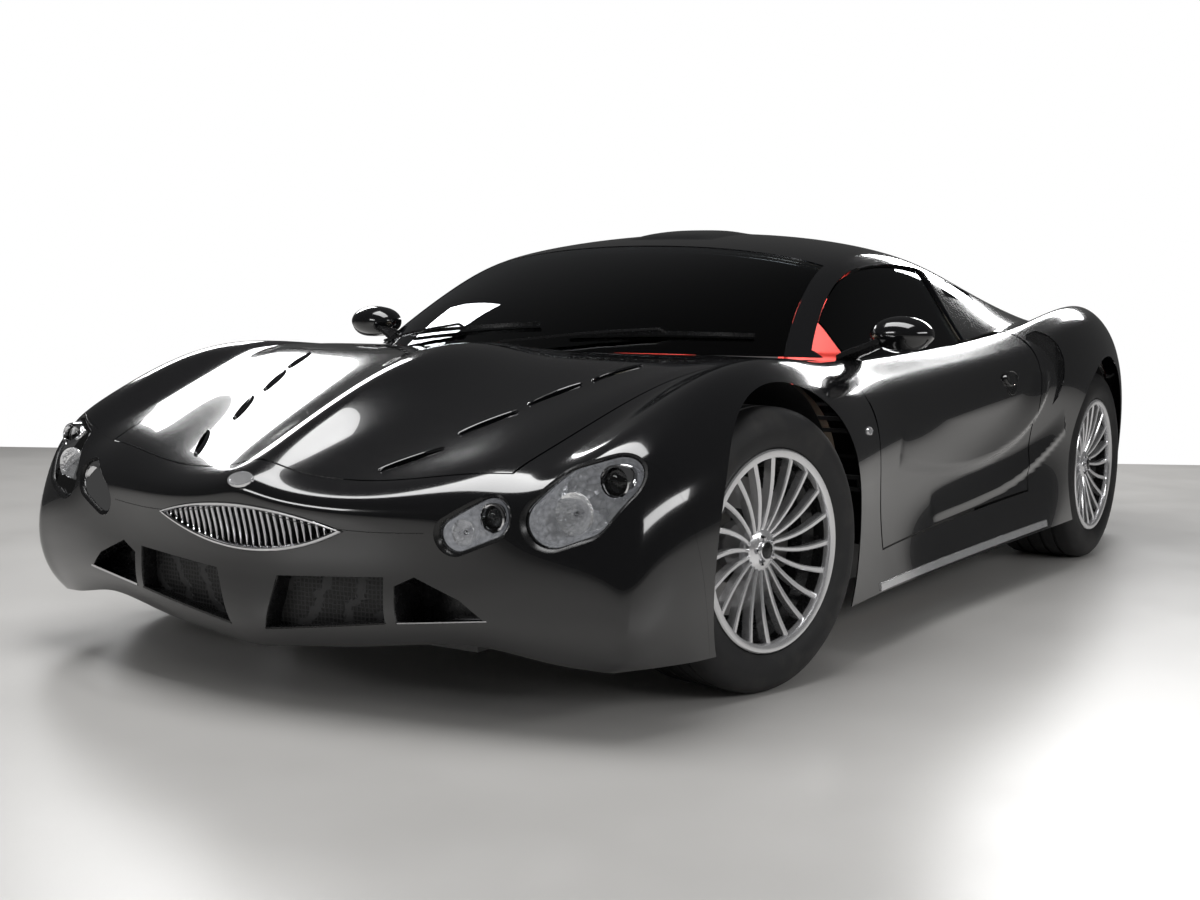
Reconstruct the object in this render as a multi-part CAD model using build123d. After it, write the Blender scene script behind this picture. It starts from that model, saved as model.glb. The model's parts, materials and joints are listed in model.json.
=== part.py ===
from build123d import *
import math
import os

# A low two-door supercar with a long bonnet and a free-form skin.
# Millimetres. +X forward, +Y left, +Z up. The origin is on the ground, under the middle of the body.

# --- driving dimensions -------------------------------------------------------------------------
FRONT_AXLE_X = 1406.0      # front axle, forward of the origin
WHEELBASE = 2600.0
REAR_AXLE_X = FRONT_AXLE_X - WHEELBASE
MID_X = (FRONT_AXLE_X + REAR_AXLE_X) / 2

SKIN = 3.0                 # body panel thickness
SHUT = 5.5                 # shut line round a moving panel
SEAM = 0.6                 # seam between fixed panels
SEAT = 0.3                 # clearance of a piece on what carries it
GLASS = 5.0                # glass thickness
ROOF_WALL = 24.0           # roof and pillar thickness, trim included
DOOR_WALL = 130.0          # whole door, outer skin to inner trim
DOOR_DROP = 45.0           # its top and bottom edges fall this much inboard

FRONT_TYRE_R = 339.0
REAR_TYRE_R = 343.0
FRONT_TYRE_W = 245.0
REAR_TYRE_W = 285.0
RIM_R = 241.0              # rim flange radius
BEAD_R = 228.6             # bead seat radius
FRONT_TRACK_OUT = 950.0    # outer face of the front wheel from the centre plane
REAR_TRACK_OUT = 956.0
KINGPIN_Y = 765.0
STEER_REST = -11.8         # the front wheels rest turned to the right, degrees
SPINDLE_R = 30.0
RUNNING_FIT = 0.05
ARCH_FRONT_R = 395.0
ARCH_REAR_R = 400.0
DISC_R = 168.0
DISC_W = 32.0
SPOKES = 20

GROUND_CLEARANCE = 130.0
FLOOR = 20.0               # floor plate thickness
CABIN_FRONT = FRONT_AXLE_X - 520.0
CABIN_REAR = REAR_AXLE_X + 690.0
CABIN_HALF = 600.0         # half width between the sills
SILL_OUT = 745.0
SILL_TOP = 330.0
TUNNEL_HALF = 120.0
TUNNEL_TOP = 380.0
RAIL_IN = 430.0            # chassis rails, inner and outer faces
RAIL_OUT = 514.7
BULKHEAD = 20.0

# --- body skin ----------------------------------------------------------------------------------
# Each row is one section of the left half, nose to tail, a net of lengthwise lines. The first
# column says which axle or middle the x values are measured from.
# ref | x: centre, side, foot | spine: z crown, z foot | vent line: y z | ridge: y z | valley: z |
# wing crest: y z | shoulder: y z | side: y z | waist: y z | foot: y z
F, M, R = FRONT_AXLE_X, MID_X, REAR_AXLE_X
SECTIONS = [
    (F, 770, 610, 595, 125, 130, 300, 150, 520, 185, 172, 730, 150, 790, 145, 825, 142, 842, 140, 850, 140),
    (F, 815, 635, 575, 185, 195, 300, 215, 540, 240, 230, 770, 215, 850, 205, 880, 190, 888, 165, 880, 145),
    (F, 795, 650, 525, 335, 335, 290, 330, 550, 345, 350, 790, 350, 872, 335, 915, 285, 920, 200, 905, 145),
    (F, 825, 605, 475, 440, 430, 300, 415, 560, 430, 440, 790, 455, 885, 440, 940, 370, 945, 240, 925, 145),
    (F, 845, 555, 425, 505, 485, 310, 470, 555, 490, 500, 800, 535, 905, 515, 958, 420, 962, 265, 945, 145),
    (F, 760, 485, 370, 548, 520, 325, 510, 552, 560, 540, 812, 615, 915, 580, 972, 465, 975, 285, 955, 145),
    (F, 610, 370, 300, 622, 580, 345, 565, 575, 605, 590, 830, 680, 932, 612, 990, 500, 990, 300, 965, 145),
    (F, 400, 240, 200, 715, 662, 405, 640, 610, 672, 660, 838, 745, 948, 650, 1002, 540, 1000, 320, 975, 145),
    (F, 200, 110, 90, 780, 730, 480, 705, 640, 725, 718, 838, 788, 955, 695, 1008, 572, 1005, 330, 980, 145),
    (F, 0, -30, -30, 812, 780, 550, 760, 690, 768, 755, 838, 808, 956, 720, 1008, 580, 1006, 335, 985, 145),
    (F, -200, -210, -210, 800, 790, 600, 780, 740, 782, 770, 842, 800, 950, 715, 1003, 580, 1000, 340, 982, 150),
    (F, -400, -400, -400, 780, 780, 620, 775, 755, 775, 768, 845, 775, 938, 698, 985, 580, 975, 360, 975, 155),
    (F, -580, -580, -580, 780, 780, 640, 775, 765, 770, 765, 835, 760, 922, 690, 968, 575, 945, 380, 968, 160),
    (M, 300, 300, 300, 780, 780, 660, 778, 780, 778, 775, 832, 770, 910, 705, 955, 590, 905, 400, 968, 165),
    (M, -200, -200, -200, 800, 800, 680, 800, 790, 795, 795, 840, 790, 915, 735, 958, 625, 890, 430, 972, 170),
    (R, 650, 650, 650, 850, 850, 680, 850, 790, 840, 835, 855, 830, 935, 790, 985, 680, 925, 460, 980, 175),
    (R, 350, 350, 350, 900, 895, 600, 880, 740, 865, 868, 860, 910, 962, 850, 1014, 700, 975, 470, 990, 180),
    (R, 0, 0, 0, 890, 885, 560, 865, 700, 855, 870, 845, 965, 965, 875, 1020, 700, 1005, 460, 990, 185),
    (R, -350, -350, -350, 870, 865, 520, 845, 680, 835, 850, 790, 940, 905, 855, 958, 690, 962, 450, 940, 190),
    (R, -700, -690, -660, 845, 840, 480, 820, 620, 810, 815, 700, 880, 800, 800, 865, 645, 875, 430, 850, 195),
    (R, -960, -920, -880, 800, 798, 430, 785, 560, 780, 784, 640, 815, 725, 738, 790, 600, 805, 400, 785, 200),
    (R, -1040, -980, -920, 720, 720, 410, 715, 540, 712, 713, 610, 720, 690, 665, 745, 540, 765, 370, 750, 205),
    (R, -1050, -1000, -940, 560, 560, 410, 560, 540, 560, 560, 600, 560, 675, 530, 730, 450, 750, 330, 740, 205),
    (R, -1030, -985, -940, 380, 380, 410, 380, 530, 380, 380, 590, 380, 660, 370, 710, 330, 735, 270, 730, 210),
    (R, -960, -930, -900, 230, 230, 410, 225, 530, 220, 220, 590, 215, 650, 212, 700, 210, 720, 210, 725, 210),
]
# Names of the sections and lines that panels are split at, as places in the net.
BONNET_FRONT, BONNET_REAR, TAIL_SPLIT = 5.0, 9.25, 20.3
BONNET_EDGE, BELT, SILL_LINE, FOOT = 4.5, 5.1, 9.5, 10.0
LID_FRONT, LID_REAR, LID_EDGE = 17.25, 20.3, 3.9

# Each row is one section of the glasshouse, windscreen base to rear deck, x from the middle.
# centre: x z | mid: x y z | corner: x y z | rail: x y z | side: x y z | belt: x y z
GLASSHOUSE = [
    (1245, 785, 1135, 380, 785, 780, 735, 752, 750, 765, 748, 745, 780, 745, 740, 795, 740),
    (980, 915, 910, 380, 900, 675, 690, 850, 645, 725, 815, 635, 745, 785, 630, 785, 755),
    (630, 1035, 590, 360, 1022, 500, 640, 965, 475, 680, 930, 455, 720, 865, 440, 790, 765),
    (270, 1118, 270, 330, 1105, 300, 605, 1062, 270, 655, 1015, 250, 705, 920, 240, 795, 772),
    (-80, 1160, -80, 320, 1145, -40, 600, 1092, -50, 655, 1042, -60, 705, 935, -80, 800, 785),
    (-420, 1140, -410, 320, 1125, -380, 600, 1072, -380, 660, 1020, -390, 715, 930, -390, 805, 800),
    (-740, 1070, -720, 320, 1055, -680, 640, 985, -680, 690, 955, -680, 730, 905, -680, 795, 835),
    (-1030, 975, -1000, 330, 965, -950, 665, 920, -940, 710, 905, -940, 735, 880, -940, 775, 858),
    (-1350, 895, -1350, 320, 888, -1300, 640, 878, -1300, 670, 872, -1300, 690, 866, -1300, 715, 860),
]


# --- free-form skins ----------------------------------------------------------------------------
def body_row(row):
    """One section of SECTIONS as eleven net points, centre to foot."""
    ref, xc, xs, xf, zs, zsf, yv, zv, yr, zr, zy, yc, zc, ysh, zsh, yd, zd, yw, zw, yf, zf = row
    across = [
        (0, zs), (0.16 * yv, 0.55 * zs + 0.45 * zsf), (0.42 * yv, 0.6 * zsf + 0.4 * zv),
        (yv, zv), (yr, zr), ((yr + yc) / 2, zy), (yc, zc), (ysh, zsh), (yd, zd),
    ]
    bowed = [(ref + xc + (xs - xc) * (y / yd) ** 1.9, y, z) for y, z in across]
    return bowed + [(ref + (xs + xf) / 2, yw, zw), (ref + xf, yf, zf)]


def glass_row(row):
    """One section of GLASSHOUSE as seven net points, centre to belt, and one below to carry on into the door."""
    points = [(row[0], 0, row[1])] + [row[k:k + 3] for k in range(2, 17, 3)]
    below = [2 * belt - side for belt, side in zip(points[-1], points[-2])]
    return [(MID_X + x, y, z) for x, y, z in points + [below]]


class Net:
    """A smooth skin over rows of net points, mirrored about y = 0. u runs aft, v runs outboard."""

    def __init__(self, rows):
        rows = [[Vector(*p) for p in row] for row in rows]
        rows = [[Vector(r[1].X, -r[1].Y, r[1].Z)] + r + [r[-1] * 2 - r[-2]] for r in rows]
        first = [a * 2 - b for a, b in zip(rows[0], rows[1])]
        last = [a * 2 - b for a, b in zip(rows[-1], rows[-2])]
        self.rows = [first] + rows + [last]
        self.u_end = len(self.rows) - 3
        self.v_end = len(self.rows[0]) - 3

    def at(self, u, v):
        if v < 0:
            p = self.at(u, -v)
            return Vector(p.X, -p.Y, p.Z)
        u = min(max(u, 0), self.u_end)
        v = min(v, self.v_end)
        i, j = min(int(u), self.u_end - 1), min(int(v), self.v_end - 1)
        across = [blend(v - j, self.rows[i + k][j:j + 4]) for k in range(4)]
        return blend(u - i, across)

    def inward(self, u, v, step=0.02):
        """Unit normal at a place in the net, pointing into the car."""
        along = self.at(min(u + step, self.u_end), v) - self.at(max(u - step, 0), v)
        over = self.at(u, min(v + step, self.v_end)) - self.at(u, max(v - step, -self.v_end))
        return along.cross(over).normalized()

    def grid(self, us, vs, depth, shift):
        return [[self.at(u, v) + self.inward(u, v) * depth + Vector(*shift) for v in vs] for u in us]


def blend(t, p):
    """Uniform cubic B-spline through four net points."""
    a, b, c, d = (1 - t) ** 3, 3 * t ** 3 - 6 * t ** 2 + 4, -3 * t ** 3 + 3 * t ** 2 + 3 * t + 1, t ** 3
    return (p[0] * a + p[1] * b + p[2] * c + p[3] * d) / 6


def steps(a, b, pitch=0.5):
    n = max(4, math.ceil(abs(b - a) / pitch) + 1)
    return [a + (b - a) * k / (n - 1) for k in range(n)]


def panel(net, u0, u1, v0, v1, depth0=0.0, depth1=SKIN, shift=(0, 0, 0)):
    """Solid between two depths under a patch of a skin. shift moves its inner face as a whole."""
    us, vs = steps(u0, u1), steps(v0, v1)
    outer = Face.make_surface_from_array_of_points(net.grid(us, vs, depth0, (0, 0, 0)), tol=0.05, min_deg=3, max_deg=3)
    inner = Face.make_surface_from_array_of_points(net.grid(us, vs, depth1, shift), tol=0.05, min_deg=3, max_deg=3)
    rims = []
    for edge in outer.edges():
        mate = min(inner.edges(), key=lambda e: (e.center() - edge.center()).length)
        rims.append(Face.make_surface_from_curves(edge, mate))
    return Solid(Shell([outer, inner] + rims))


BODY = Net([body_row(row) for row in SECTIONS])
HOUSE = Net([glass_row(row) for row in GLASSHOUSE])


def gap_u(net, u, v, gap):
    """How far u moves for a gap along the car at this place."""
    return gap * 0.02 / (net.at(u + 0.01, v) - net.at(u - 0.01, v)).length


def gap_v(net, u, v, gap):
    return gap * 0.02 / (net.at(u, v + 0.01) - net.at(u, v - 0.01)).length


# --- helpers ------------------------------------------------------------------------------------
def box(x0, x1, y0, y1, z0, z1):
    return Pos((x0 + x1) / 2, (y0 + y1) / 2, (z0 + z1) / 2) * Box(x1 - x0, y1 - y0, z1 - z0)


def tube_y(x, z, r, y0, y1):
    """Cylinder along Y."""
    return Pos(x, (y0 + y1) / 2, z) * Rot(90, 0, 0) * Cylinder(r, y1 - y0)


def tube_x(y, z, r, x0, x1):
    return Pos((x0 + x1) / 2, y, z) * Rot(0, 90, 0) * Cylinder(r, x1 - x0)


def post(x, y, r, z0, z1):
    return Pos(x, y, (z0 + z1) / 2) * Cylinder(r, z1 - z0)


def rod(a, b, r):
    a, b = Vector(*a), Vector(*b)
    return Solid.make_cylinder(r, (b - a).length, Plane(origin=a, z_dir=b - a))


def side_prism(points, y0, y1):
    """Prism along Y from (x, z) points."""
    face = make_face(Polyline(*[(x, y0, z) for x, z in points], close=True))
    return extrude(face, y1 - y0, dir=(0, 1, 0))


def plan_prism(points, z0, z1):
    face = make_face(Polyline(*[(x, y, z0) for x, y in points], close=True))
    return extrude(face, z1 - z0, dir=(0, 0, 1))


def nose_prism(points, x0, x1):
    """Prism along X from (y, z) points."""
    face = make_face(Polyline(*[(x0, y, z) for y, z in points], close=True))
    return extrude(face, x1 - x0, dir=(1, 0, 0))


def flip(shape):
    return mirror(shape, about=Plane.XZ)


def both(shape):
    return [shape, flip(shape)]


def solids_of(shape):
    if isinstance(shape, (list, tuple, ShapeList)):
        return [s for part in shape for s in solids_of(part)]
    return list(shape.solids())


def write(name, *shapes):
    found = [s for shape in shapes for s in solids_of(shape)]
    export_step(found[0] if len(found) == 1 else Compound(found), f"parts/{name}.step")
    print(name, len(found), round(sum(s.volume for s in found)), flush=True)


# --- wheels -------------------------------------------------------------------------------------
RIM_WALL = 8.0
HUB_R = 62.0
HUB_FACE_IN = 34.0         # hub centre set in from the rim's outer lip
SPOKE_W = 11.0
SPOKE_DEEP = 26.0
TYRE_CORNER = 38.0
DISC_SET_IN = 128.0        # disc outer face from the wheel's outer face


def wheel_pose(axle_x, radius, out, steered, side):
    """Where a wheel's outer face centre lies, for a wheel built at the origin facing +Y."""
    if not steered:
        place = Pos(axle_x, out, radius)
        return place if side > 0 else Pos(axle_x, -out, radius) * Rot(0, 0, 180)
    pivot = Pos(axle_x, side * KINGPIN_Y, radius) * Rot(0, 0, STEER_REST)
    place = pivot * Pos(0, side * (out - KINGPIN_Y), 0)
    return place if side > 0 else place * Rot(0, 0, 180)


def rim(width):
    """Rim, spokes, hub and brake disc, outer face at y = 0, inner side towards -Y."""
    hub_in = -DISC_SET_IN
    profile = [
        (RIM_R, 0), (RIM_R, -14), (BEAD_R, -16), (BEAD_R, -50), (BEAD_R - 20, -70),
        (BEAD_R - 20, 50 - width), (BEAD_R, 30 - width), (BEAD_R, 14 - width), (RIM_R, 12 - width),
        (RIM_R, -width), (BEAD_R - RIM_WALL, -width), (BEAD_R - RIM_WALL, 26 - width),
        (BEAD_R - 20 - RIM_WALL, 46 - width), (BEAD_R - 20 - RIM_WALL, -74), (BEAD_R - RIM_WALL, -54),
        (BEAD_R - RIM_WALL, -6),
    ]
    barrel = revolve(make_face(Polyline(*[(r, y, 0) for r, y in profile], close=True)), Axis.Y)
    hub = tube_y(0, 0, HUB_R, hub_in, -HUB_FACE_IN)
    disc = tube_y(0, 0, DISC_R, hub_in - DISC_W, hub_in)
    wheel = barrel + hub + disc
    for k in range(SPOKES):
        blade = side_spoke()
        wheel += Rot(0, 360 * k / SPOKES, 0) * blade
    return wheel - tube_y(0, 0, SPINDLE_R + RUNNING_FIT, hub_in - DISC_W - 1, -HUB_FACE_IN - 12)


def side_spoke():
    """One slim blade from the hub to the rim, leaning out towards the rim."""
    inner, outer = HUB_R - 6, BEAD_R - RIM_WALL / 2
    points = [
        (inner, -HUB_FACE_IN - 4), (outer, -9), (outer, -9 - SPOKE_DEEP), (inner, -HUB_FACE_IN - 4 - SPOKE_DEEP),
    ]
    face = make_face(Polyline(*[(r, y, -SPOKE_W / 2) for r, y in points], close=True))
    return extrude(face, SPOKE_W, dir=(0, 0, 1))


def tyre(radius, width):
    seat = BEAD_R + SEAT
    shoulder = radius - TYRE_CORNER
    outer = [
        (seat, -30.5), (seat, -16.5), (RIM_R + 1, -15), (RIM_R + 2, -3), (RIM_R + 40, 8),
        (shoulder, 6), (radius - 12, -8), (radius, -30),
    ]
    inner = [(radius - 14, -36), (shoulder - 6, -12), (RIM_R + 38, -8), (RIM_R + 8, -24)]

    def far(points):
        return [(r, -width - y) for r, y in reversed(points)]

    ring = outer + far(outer) + far(inner) + inner
    return revolve(make_face(Polyline(*[(r, y, 0) for r, y in ring], close=True)), Axis.Y)


# --- knuckles and arms --------------------------------------------------------------------------
BALL_UP = 150.0            # ball joints above and below the axle
PIN_R = 9.0
EYE_R = 18.0
ARM_THICK = 20.0
KNUCKLE_HALF = 38.0
KNUCKLE_DEEP = 62.0
CALIPER_R = 194.0
DISC_SLOT = 2.5            # running gap of the disc in its caliper


def knuckle(out):
    """Upright, spindle and brake caliper; axle at the origin, outer wheel face at y = out."""
    disc_in = out - DISC_SET_IN - DISC_W
    face = disc_in - 8
    upright = box(-KNUCKLE_HALF, KNUCKLE_HALF, face - KNUCKLE_DEEP, face, 12 - BALL_UP, BALL_UP - 12)
    spindle = tube_y(0, 0, SPINDLE_R, face, out - HUB_FACE_IN - 16)
    caliper = tube_y(0, 0, CALIPER_R, face - 10, disc_in + DISC_W + 16)
    caliper -= tube_y(0, 0, 0.62 * DISC_R, face - 12, disc_in + DISC_W + 18)
    caliper = caliper & box(-CALIPER_R, -60, face - 12, disc_in + DISC_W + 20, -68, 68)
    caliper -= tube_y(0, 0, DISC_R + 6, disc_in - DISC_SLOT, disc_in + DISC_W + DISC_SLOT)
    bracket = box(-CALIPER_R + 40, -20, face - 24, face, -26, 26)
    top, low = BALL_UP + ARM_THICK / 2, BALL_UP - ARM_THICK
    pins = [post(0, KINGPIN_Y, PIN_R, low, top), post(0, KINGPIN_Y, PIN_R, -top, -low)]
    caliper += bracket - tube_y(0, 0, DISC_R + 6, disc_in - DISC_SLOT, out)
    return upright + spindle + caliper + pins


def arm(axle_x, z):
    """Flat wishbone from the kingpin to the chassis, left side."""
    root = RAIL_OUT + SEAT
    plan = [
        (-18, KINGPIN_Y), (-18, 620), (-120, root), (-80, root), (0, 590), (80, root), (120, root), (18, 620),
        (18, KINGPIN_Y),
    ]
    blade = plan_prism(plan, -ARM_THICK / 2, ARM_THICK / 2) + post(0, KINGPIN_Y, EYE_R, -ARM_THICK / 2, ARM_THICK / 2)
    return Pos(axle_x, 0, z) * (blade - post(0, KINGPIN_Y, PIN_R + RUNNING_FIT, -20, 20))


# --- chassis ------------------------------------------------------------------------------------
TOWER_HALF = 130.0
TOWER_TOP = 240.0          # above the axle
RAIL_LOW, RAIL_HIGH = 150.0, 340.0
NOSE_RAIL_X = FRONT_AXLE_X + 620.0
TAIL_RAIL_X = REAR_AXLE_X - 820.0
FIREWALL_TOP = 700.0
FIREWALL_HALF = 690.0
HINGE_X = CABIN_FRONT + 55.0
HINGE_Y = 937.0
HINGE_Z = (455.0, 605.0)
HINGE_PIN_R = 6.0
EAR = 10.0
KNUCKLE_TALL = 20.0
EAR_HALF = 10.0
EYE_OUT = 11.0             # outer radius of a hinge eye
TRAY = 4.0                 # undertray and boot tub walls
BOOT_FRONT, BOOT_BACK = REAR_AXLE_X - 140.0, REAR_AXLE_X - 780.0
BOOT_HALF, BOOT_TOP = 440.0, 730.0


def chassis():
    floor_z = GROUND_CLEARANCE
    tub = box(CABIN_REAR, CABIN_FRONT, -CABIN_HALF, CABIN_HALF, floor_z, floor_z + FLOOR)
    for y0, y1 in ((CABIN_HALF, SILL_OUT), (-SILL_OUT, -CABIN_HALF)):
        tub += box(CABIN_REAR, CABIN_FRONT, y0, y1, floor_z, SILL_TOP)
    tub += box(CABIN_REAR, CABIN_FRONT, -TUNNEL_HALF, TUNNEL_HALF, floor_z, TUNNEL_TOP)
    tub += box(CABIN_FRONT, CABIN_FRONT + BULKHEAD, -FIREWALL_HALF, FIREWALL_HALF, floor_z, FIREWALL_TOP)
    tub += box(CABIN_REAR - BULKHEAD, CABIN_REAR, -FIREWALL_HALF, FIREWALL_HALF, floor_z, FIREWALL_TOP + 60)
    for side in (1, -1):
        y0, y1 = sorted((side * RAIL_IN, side * RAIL_OUT))
        tub += box(CABIN_FRONT, NOSE_RAIL_X, y0, y1, RAIL_LOW, RAIL_HIGH)
        tub += box(TAIL_RAIL_X, CABIN_REAR, y0, y1, RAIL_LOW, RAIL_HIGH)
        for axle in (FRONT_AXLE_X, REAR_AXLE_X):
            tub += box(axle - TOWER_HALF, axle + TOWER_HALF, y0, y1, RAIL_HIGH - 20, FRONT_TYRE_R + TOWER_TOP)
        post_y = sorted((side * (FIREWALL_HALF - 60), side * FIREWALL_HALF))
        tub += box(CABIN_FRONT, HINGE_X + 20, *post_y, RAIL_LOW, FIREWALL_TOP)
        ear_y = sorted((side * FIREWALL_HALF, side * (HINGE_Y + EAR_HALF)))
        for z in HINGE_Z:
            for z0 in (z - KNUCKLE_TALL / 2 - SEAT - EAR, z + KNUCKLE_TALL / 2 + SEAT):
                tub += box(HINGE_X - EAR_HALF, HINGE_X + EAR_HALF, *ear_y, z0, z0 + EAR)
            tub += post(HINGE_X, side * HINGE_Y, HINGE_PIN_R, z - KNUCKLE_TALL / 2 - EAR, z + KNUCKLE_TALL / 2 + EAR)
    tub += box(NOSE_RAIL_X - 60, NOSE_RAIL_X, -RAIL_OUT, RAIL_OUT, RAIL_LOW, RAIL_HIGH)
    tub += box(TAIL_RAIL_X, TAIL_RAIL_X + 60, -RAIL_OUT, RAIL_OUT, RAIL_LOW, RAIL_HIGH)
    tub += box(CABIN_FRONT, NOSE_RAIL_X, -RAIL_OUT, RAIL_OUT, RAIL_LOW - TRAY, RAIL_LOW)
    tub += box(TAIL_RAIL_X, CABIN_REAR, -RAIL_OUT, RAIL_OUT, RAIL_LOW - TRAY, RAIL_LOW)
    tub += box(BOOT_BACK, BOOT_FRONT, -BOOT_HALF, BOOT_HALF, RAIL_HIGH, BOOT_TOP)
    return tub - box(BOOT_BACK + TRAY, BOOT_FRONT - TRAY, TRAY - BOOT_HALF, BOOT_HALF - TRAY, RAIL_HIGH + TRAY, 1000)


LINER_IN = 515.0
LINER_OUT = 905.0
LINER_WALL = 3.0
LINER_MOUTH_R = 262.0
LINER_LOW = 168.0


def liner(axle_x, radius, arch_r):
    """Wheel housing: a half drum and its inner wall, left side."""
    r0 = arch_r + SKIN + SEAT
    drum = tube_y(axle_x, radius, r0 + LINER_WALL, LINER_IN, LINER_OUT)
    drum -= tube_y(axle_x, radius, r0, LINER_IN + LINER_WALL, LINER_OUT + 1)
    drum -= tube_y(axle_x, radius, LINER_MOUTH_R, LINER_IN - 1, LINER_IN + LINER_WALL + 1)
    drum -= box(axle_x - 600, axle_x + 600, 400, 1000, -200, LINER_LOW)
    return drum - box(axle_x - TOWER_HALF - 4, axle_x + TOWER_HALF + 4, 400, LINER_IN + LINER_WALL + 1, 0, 560)


# --- body panels --------------------------------------------------------------------------------
DOOR_FRONT = ((HINGE_X - 64, 590), (HINGE_X - 125, 238))     # shut line x, z
DOOR_REAR = ((CABIN_REAR + 10, 780), (CABIN_REAR + 90, 170))
LINE_TOP, LINE_LOW = 1000.0, 0.0
HOUSE_FOOT = (MID_X - 830, MID_X - 700, 700, 775)    # rear corner of the skin's hole under the glasshouse


def on_line(line, z):
    (xa, za), (xb, zb) = line
    return xa + (z - za) * (xb - xa) / (zb - za)


def beside(line, x_far, gap):
    """Prism across the car from a shut line to x_far, set off the line by gap."""
    return side_prism([
        (on_line(line, LINE_TOP) + gap, LINE_TOP), (x_far, LINE_TOP), (x_far, LINE_LOW),
        (on_line(line, LINE_LOW) + gap, LINE_LOW)], -1100, 1100)


def arch_cut(axle_x, radius, arch_r):
    return tube_y(axle_x, radius, arch_r, 560, 1200)


def arch_flange(axle_x, radius, arch_r, u0, u1):
    """Return flange of a wheel arch, inside the wing."""
    deep = panel(BODY, u0, u1, 5.6, 9.9, 0.6, 96.0)
    ring = tube_y(axle_x, radius, arch_r + SKIN, 700, 1100) - tube_y(axle_x, radius, arch_r, 690, 1110)
    return (deep & ring) - box(axle_x - 600, axle_x + 600, 400, 1100, -200, LINER_LOW)


def fender():
    u0 = BONNET_FRONT + gap_u(BODY, 5, 7, SEAM)
    v0 = BONNET_EDGE
    skin = panel(BODY, u0, 12.4, v0, FOOT) - arch_cut(FRONT_AXLE_X, FRONT_TYRE_R, ARCH_FRONT_R)
    skin -= lamp_prism(OUTER_LAMP, LAMP_SURROUND)
    skin = max(solids_of(skin), key=lambda s: s.volume)
    return skin - beside(DOOR_FRONT, -200, SHUT / 2)


# Side scoop behind the door, seen from the side: x z. Its box is this deep, with walls this thick.
SCOOP = ((-516, 810), (-560, 826), (-640, 838), (-676, 822), (-694, 790), (-698, 740), (-682, 670),
         (-650, 618), (-606, 590), (-622, 660), (-600, 730), (-556, 786))
SCOOP_DEEP, SCOOP_WALL = 60.0, 3.0
SCOOP_IN, SCOOP_OUT = 855.0, 1100.0


def scoop_prism(grow=0.0):
    outline = make_face(Polyline(*[(x, SCOOP_IN, z) for x, z in SCOOP], close=True))
    if grow:
        outline = offset(outline, grow)
    return extrude(outline, SCOOP_OUT - SCOOP_IN, dir=(0, 1, 0))


def scoop_box():
    """Box behind the side scoop's opening."""
    shell = panel(BODY, 14.4, 16.4, 5.4, 9.2, 0.5, SCOOP_DEEP) & scoop_prism(SCOOP_WALL)
    return shell - (panel(BODY, 14.4, 16.4, 5.4, 9.2, -5, SCOOP_DEEP - SCOOP_WALL) & scoop_prism())


def quarter():
    skin = panel(BODY, 14.4, TAIL_SPLIT, LID_EDGE, FOOT) - arch_cut(REAR_AXLE_X, REAR_TYRE_R, ARCH_REAR_R)
    skin = skin - scoop_prism() + scoop_box()
    skin -= beside(DOOR_REAR, 900, -SHUT / 2)
    x0, x1, y0, y1 = HOUSE_FOOT
    return skin - plan_prism([(x0, 0), (x0, y0), (x1, y1), (x1 + 600, y1), (x1 + 600, 0)], 600, 1100)


# --- nose ---------------------------------------------------------------------------------------
# Lamp outlines seen from the front are hulls round these circles: y z r.
OUTER_LAMP = ((835, 540, 51), (775, 520, 50), (745, 462, 58), (800, 478, 52))
INNER_LAMP = ((610, 458, 43), (540, 420, 36))
LAMP_SURROUND = 5.0
LAMP_DEEP = 95.0
BOWL_WALL = 3.0
LAMP_LENS = 3.0
LENS_DEPTH = 1.0           # outer face of the lens, under the skin
UNDER_LENS = LENS_DEPTH + LAMP_LENS + SEAT
# Light units: y z, radius, how far behind the lens.
LIGHT_UNITS = ((835, 540, 34, 26), (775, 470, 34, 40), (604, 455, 26, 26))
GRILLE_TIP_Y, GRILLE_TIP_Z = 284.0, 412.0
GRILLE_TOP, GRILLE_LOW = 456.0, 345.0
GRILLE_RIM = 9.0
GRILLE_BARS = 27
GRILLE_BAR_W = 5.0
INTAKES = (
    ((92, 298), (372, 318), (372, 214), (52, 170)),
    ((398, 300), (446, 324), (552, 282), (606, 238), (398, 216)),
)
BLADE_TALL, BLADE_DEEP = 10.0, 34.0
NOSE_FAR = FRONT_AXLE_X + 1000.0
NOSE_BACK = FRONT_AXLE_X + 380.0
MESH_BORDER = 14.0
BAR_BACK, BAR_DEEP = 9.0, 12.0
NOSE_POINTS = []


def lamp_prism(circles, grow, x0=NOSE_BACK, x1=NOSE_FAR):
    hull = make_hull([Edge.make_circle(r + grow, Plane(origin=(y, z, 0))) for y, z, r in circles])
    return Plane(origin=(x0, 0, 0), x_dir=(0, 1, 0), z_dir=(1, 0, 0)) * extrude(hull, x1 - x0)


def nose_patch(depth0, depth1, back=0.0):
    """Left half of the nose, between two depths under the skin, its inner face set back."""
    return panel(BODY, 1.4, 6.4, 2.9, 7.8, depth0, depth1, (-back, 0, 0))


def grille_prism(shrink):
    """Almond opening between two arcs, shrunk all round."""
    tip, x0 = GRILLE_TIP_Y - 2.2 * shrink, NOSE_BACK
    top = ThreePointArc((x0, -tip, GRILLE_TIP_Z), (x0, 0, GRILLE_TOP - shrink), (x0, tip, GRILLE_TIP_Z))
    low = ThreePointArc((x0, tip, GRILLE_TIP_Z), (x0, 0, GRILLE_LOW + shrink), (x0, -tip, GRILLE_TIP_Z))
    return extrude(make_face([top, low]), NOSE_FAR - x0, dir=(1, 0, 0))


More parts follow.
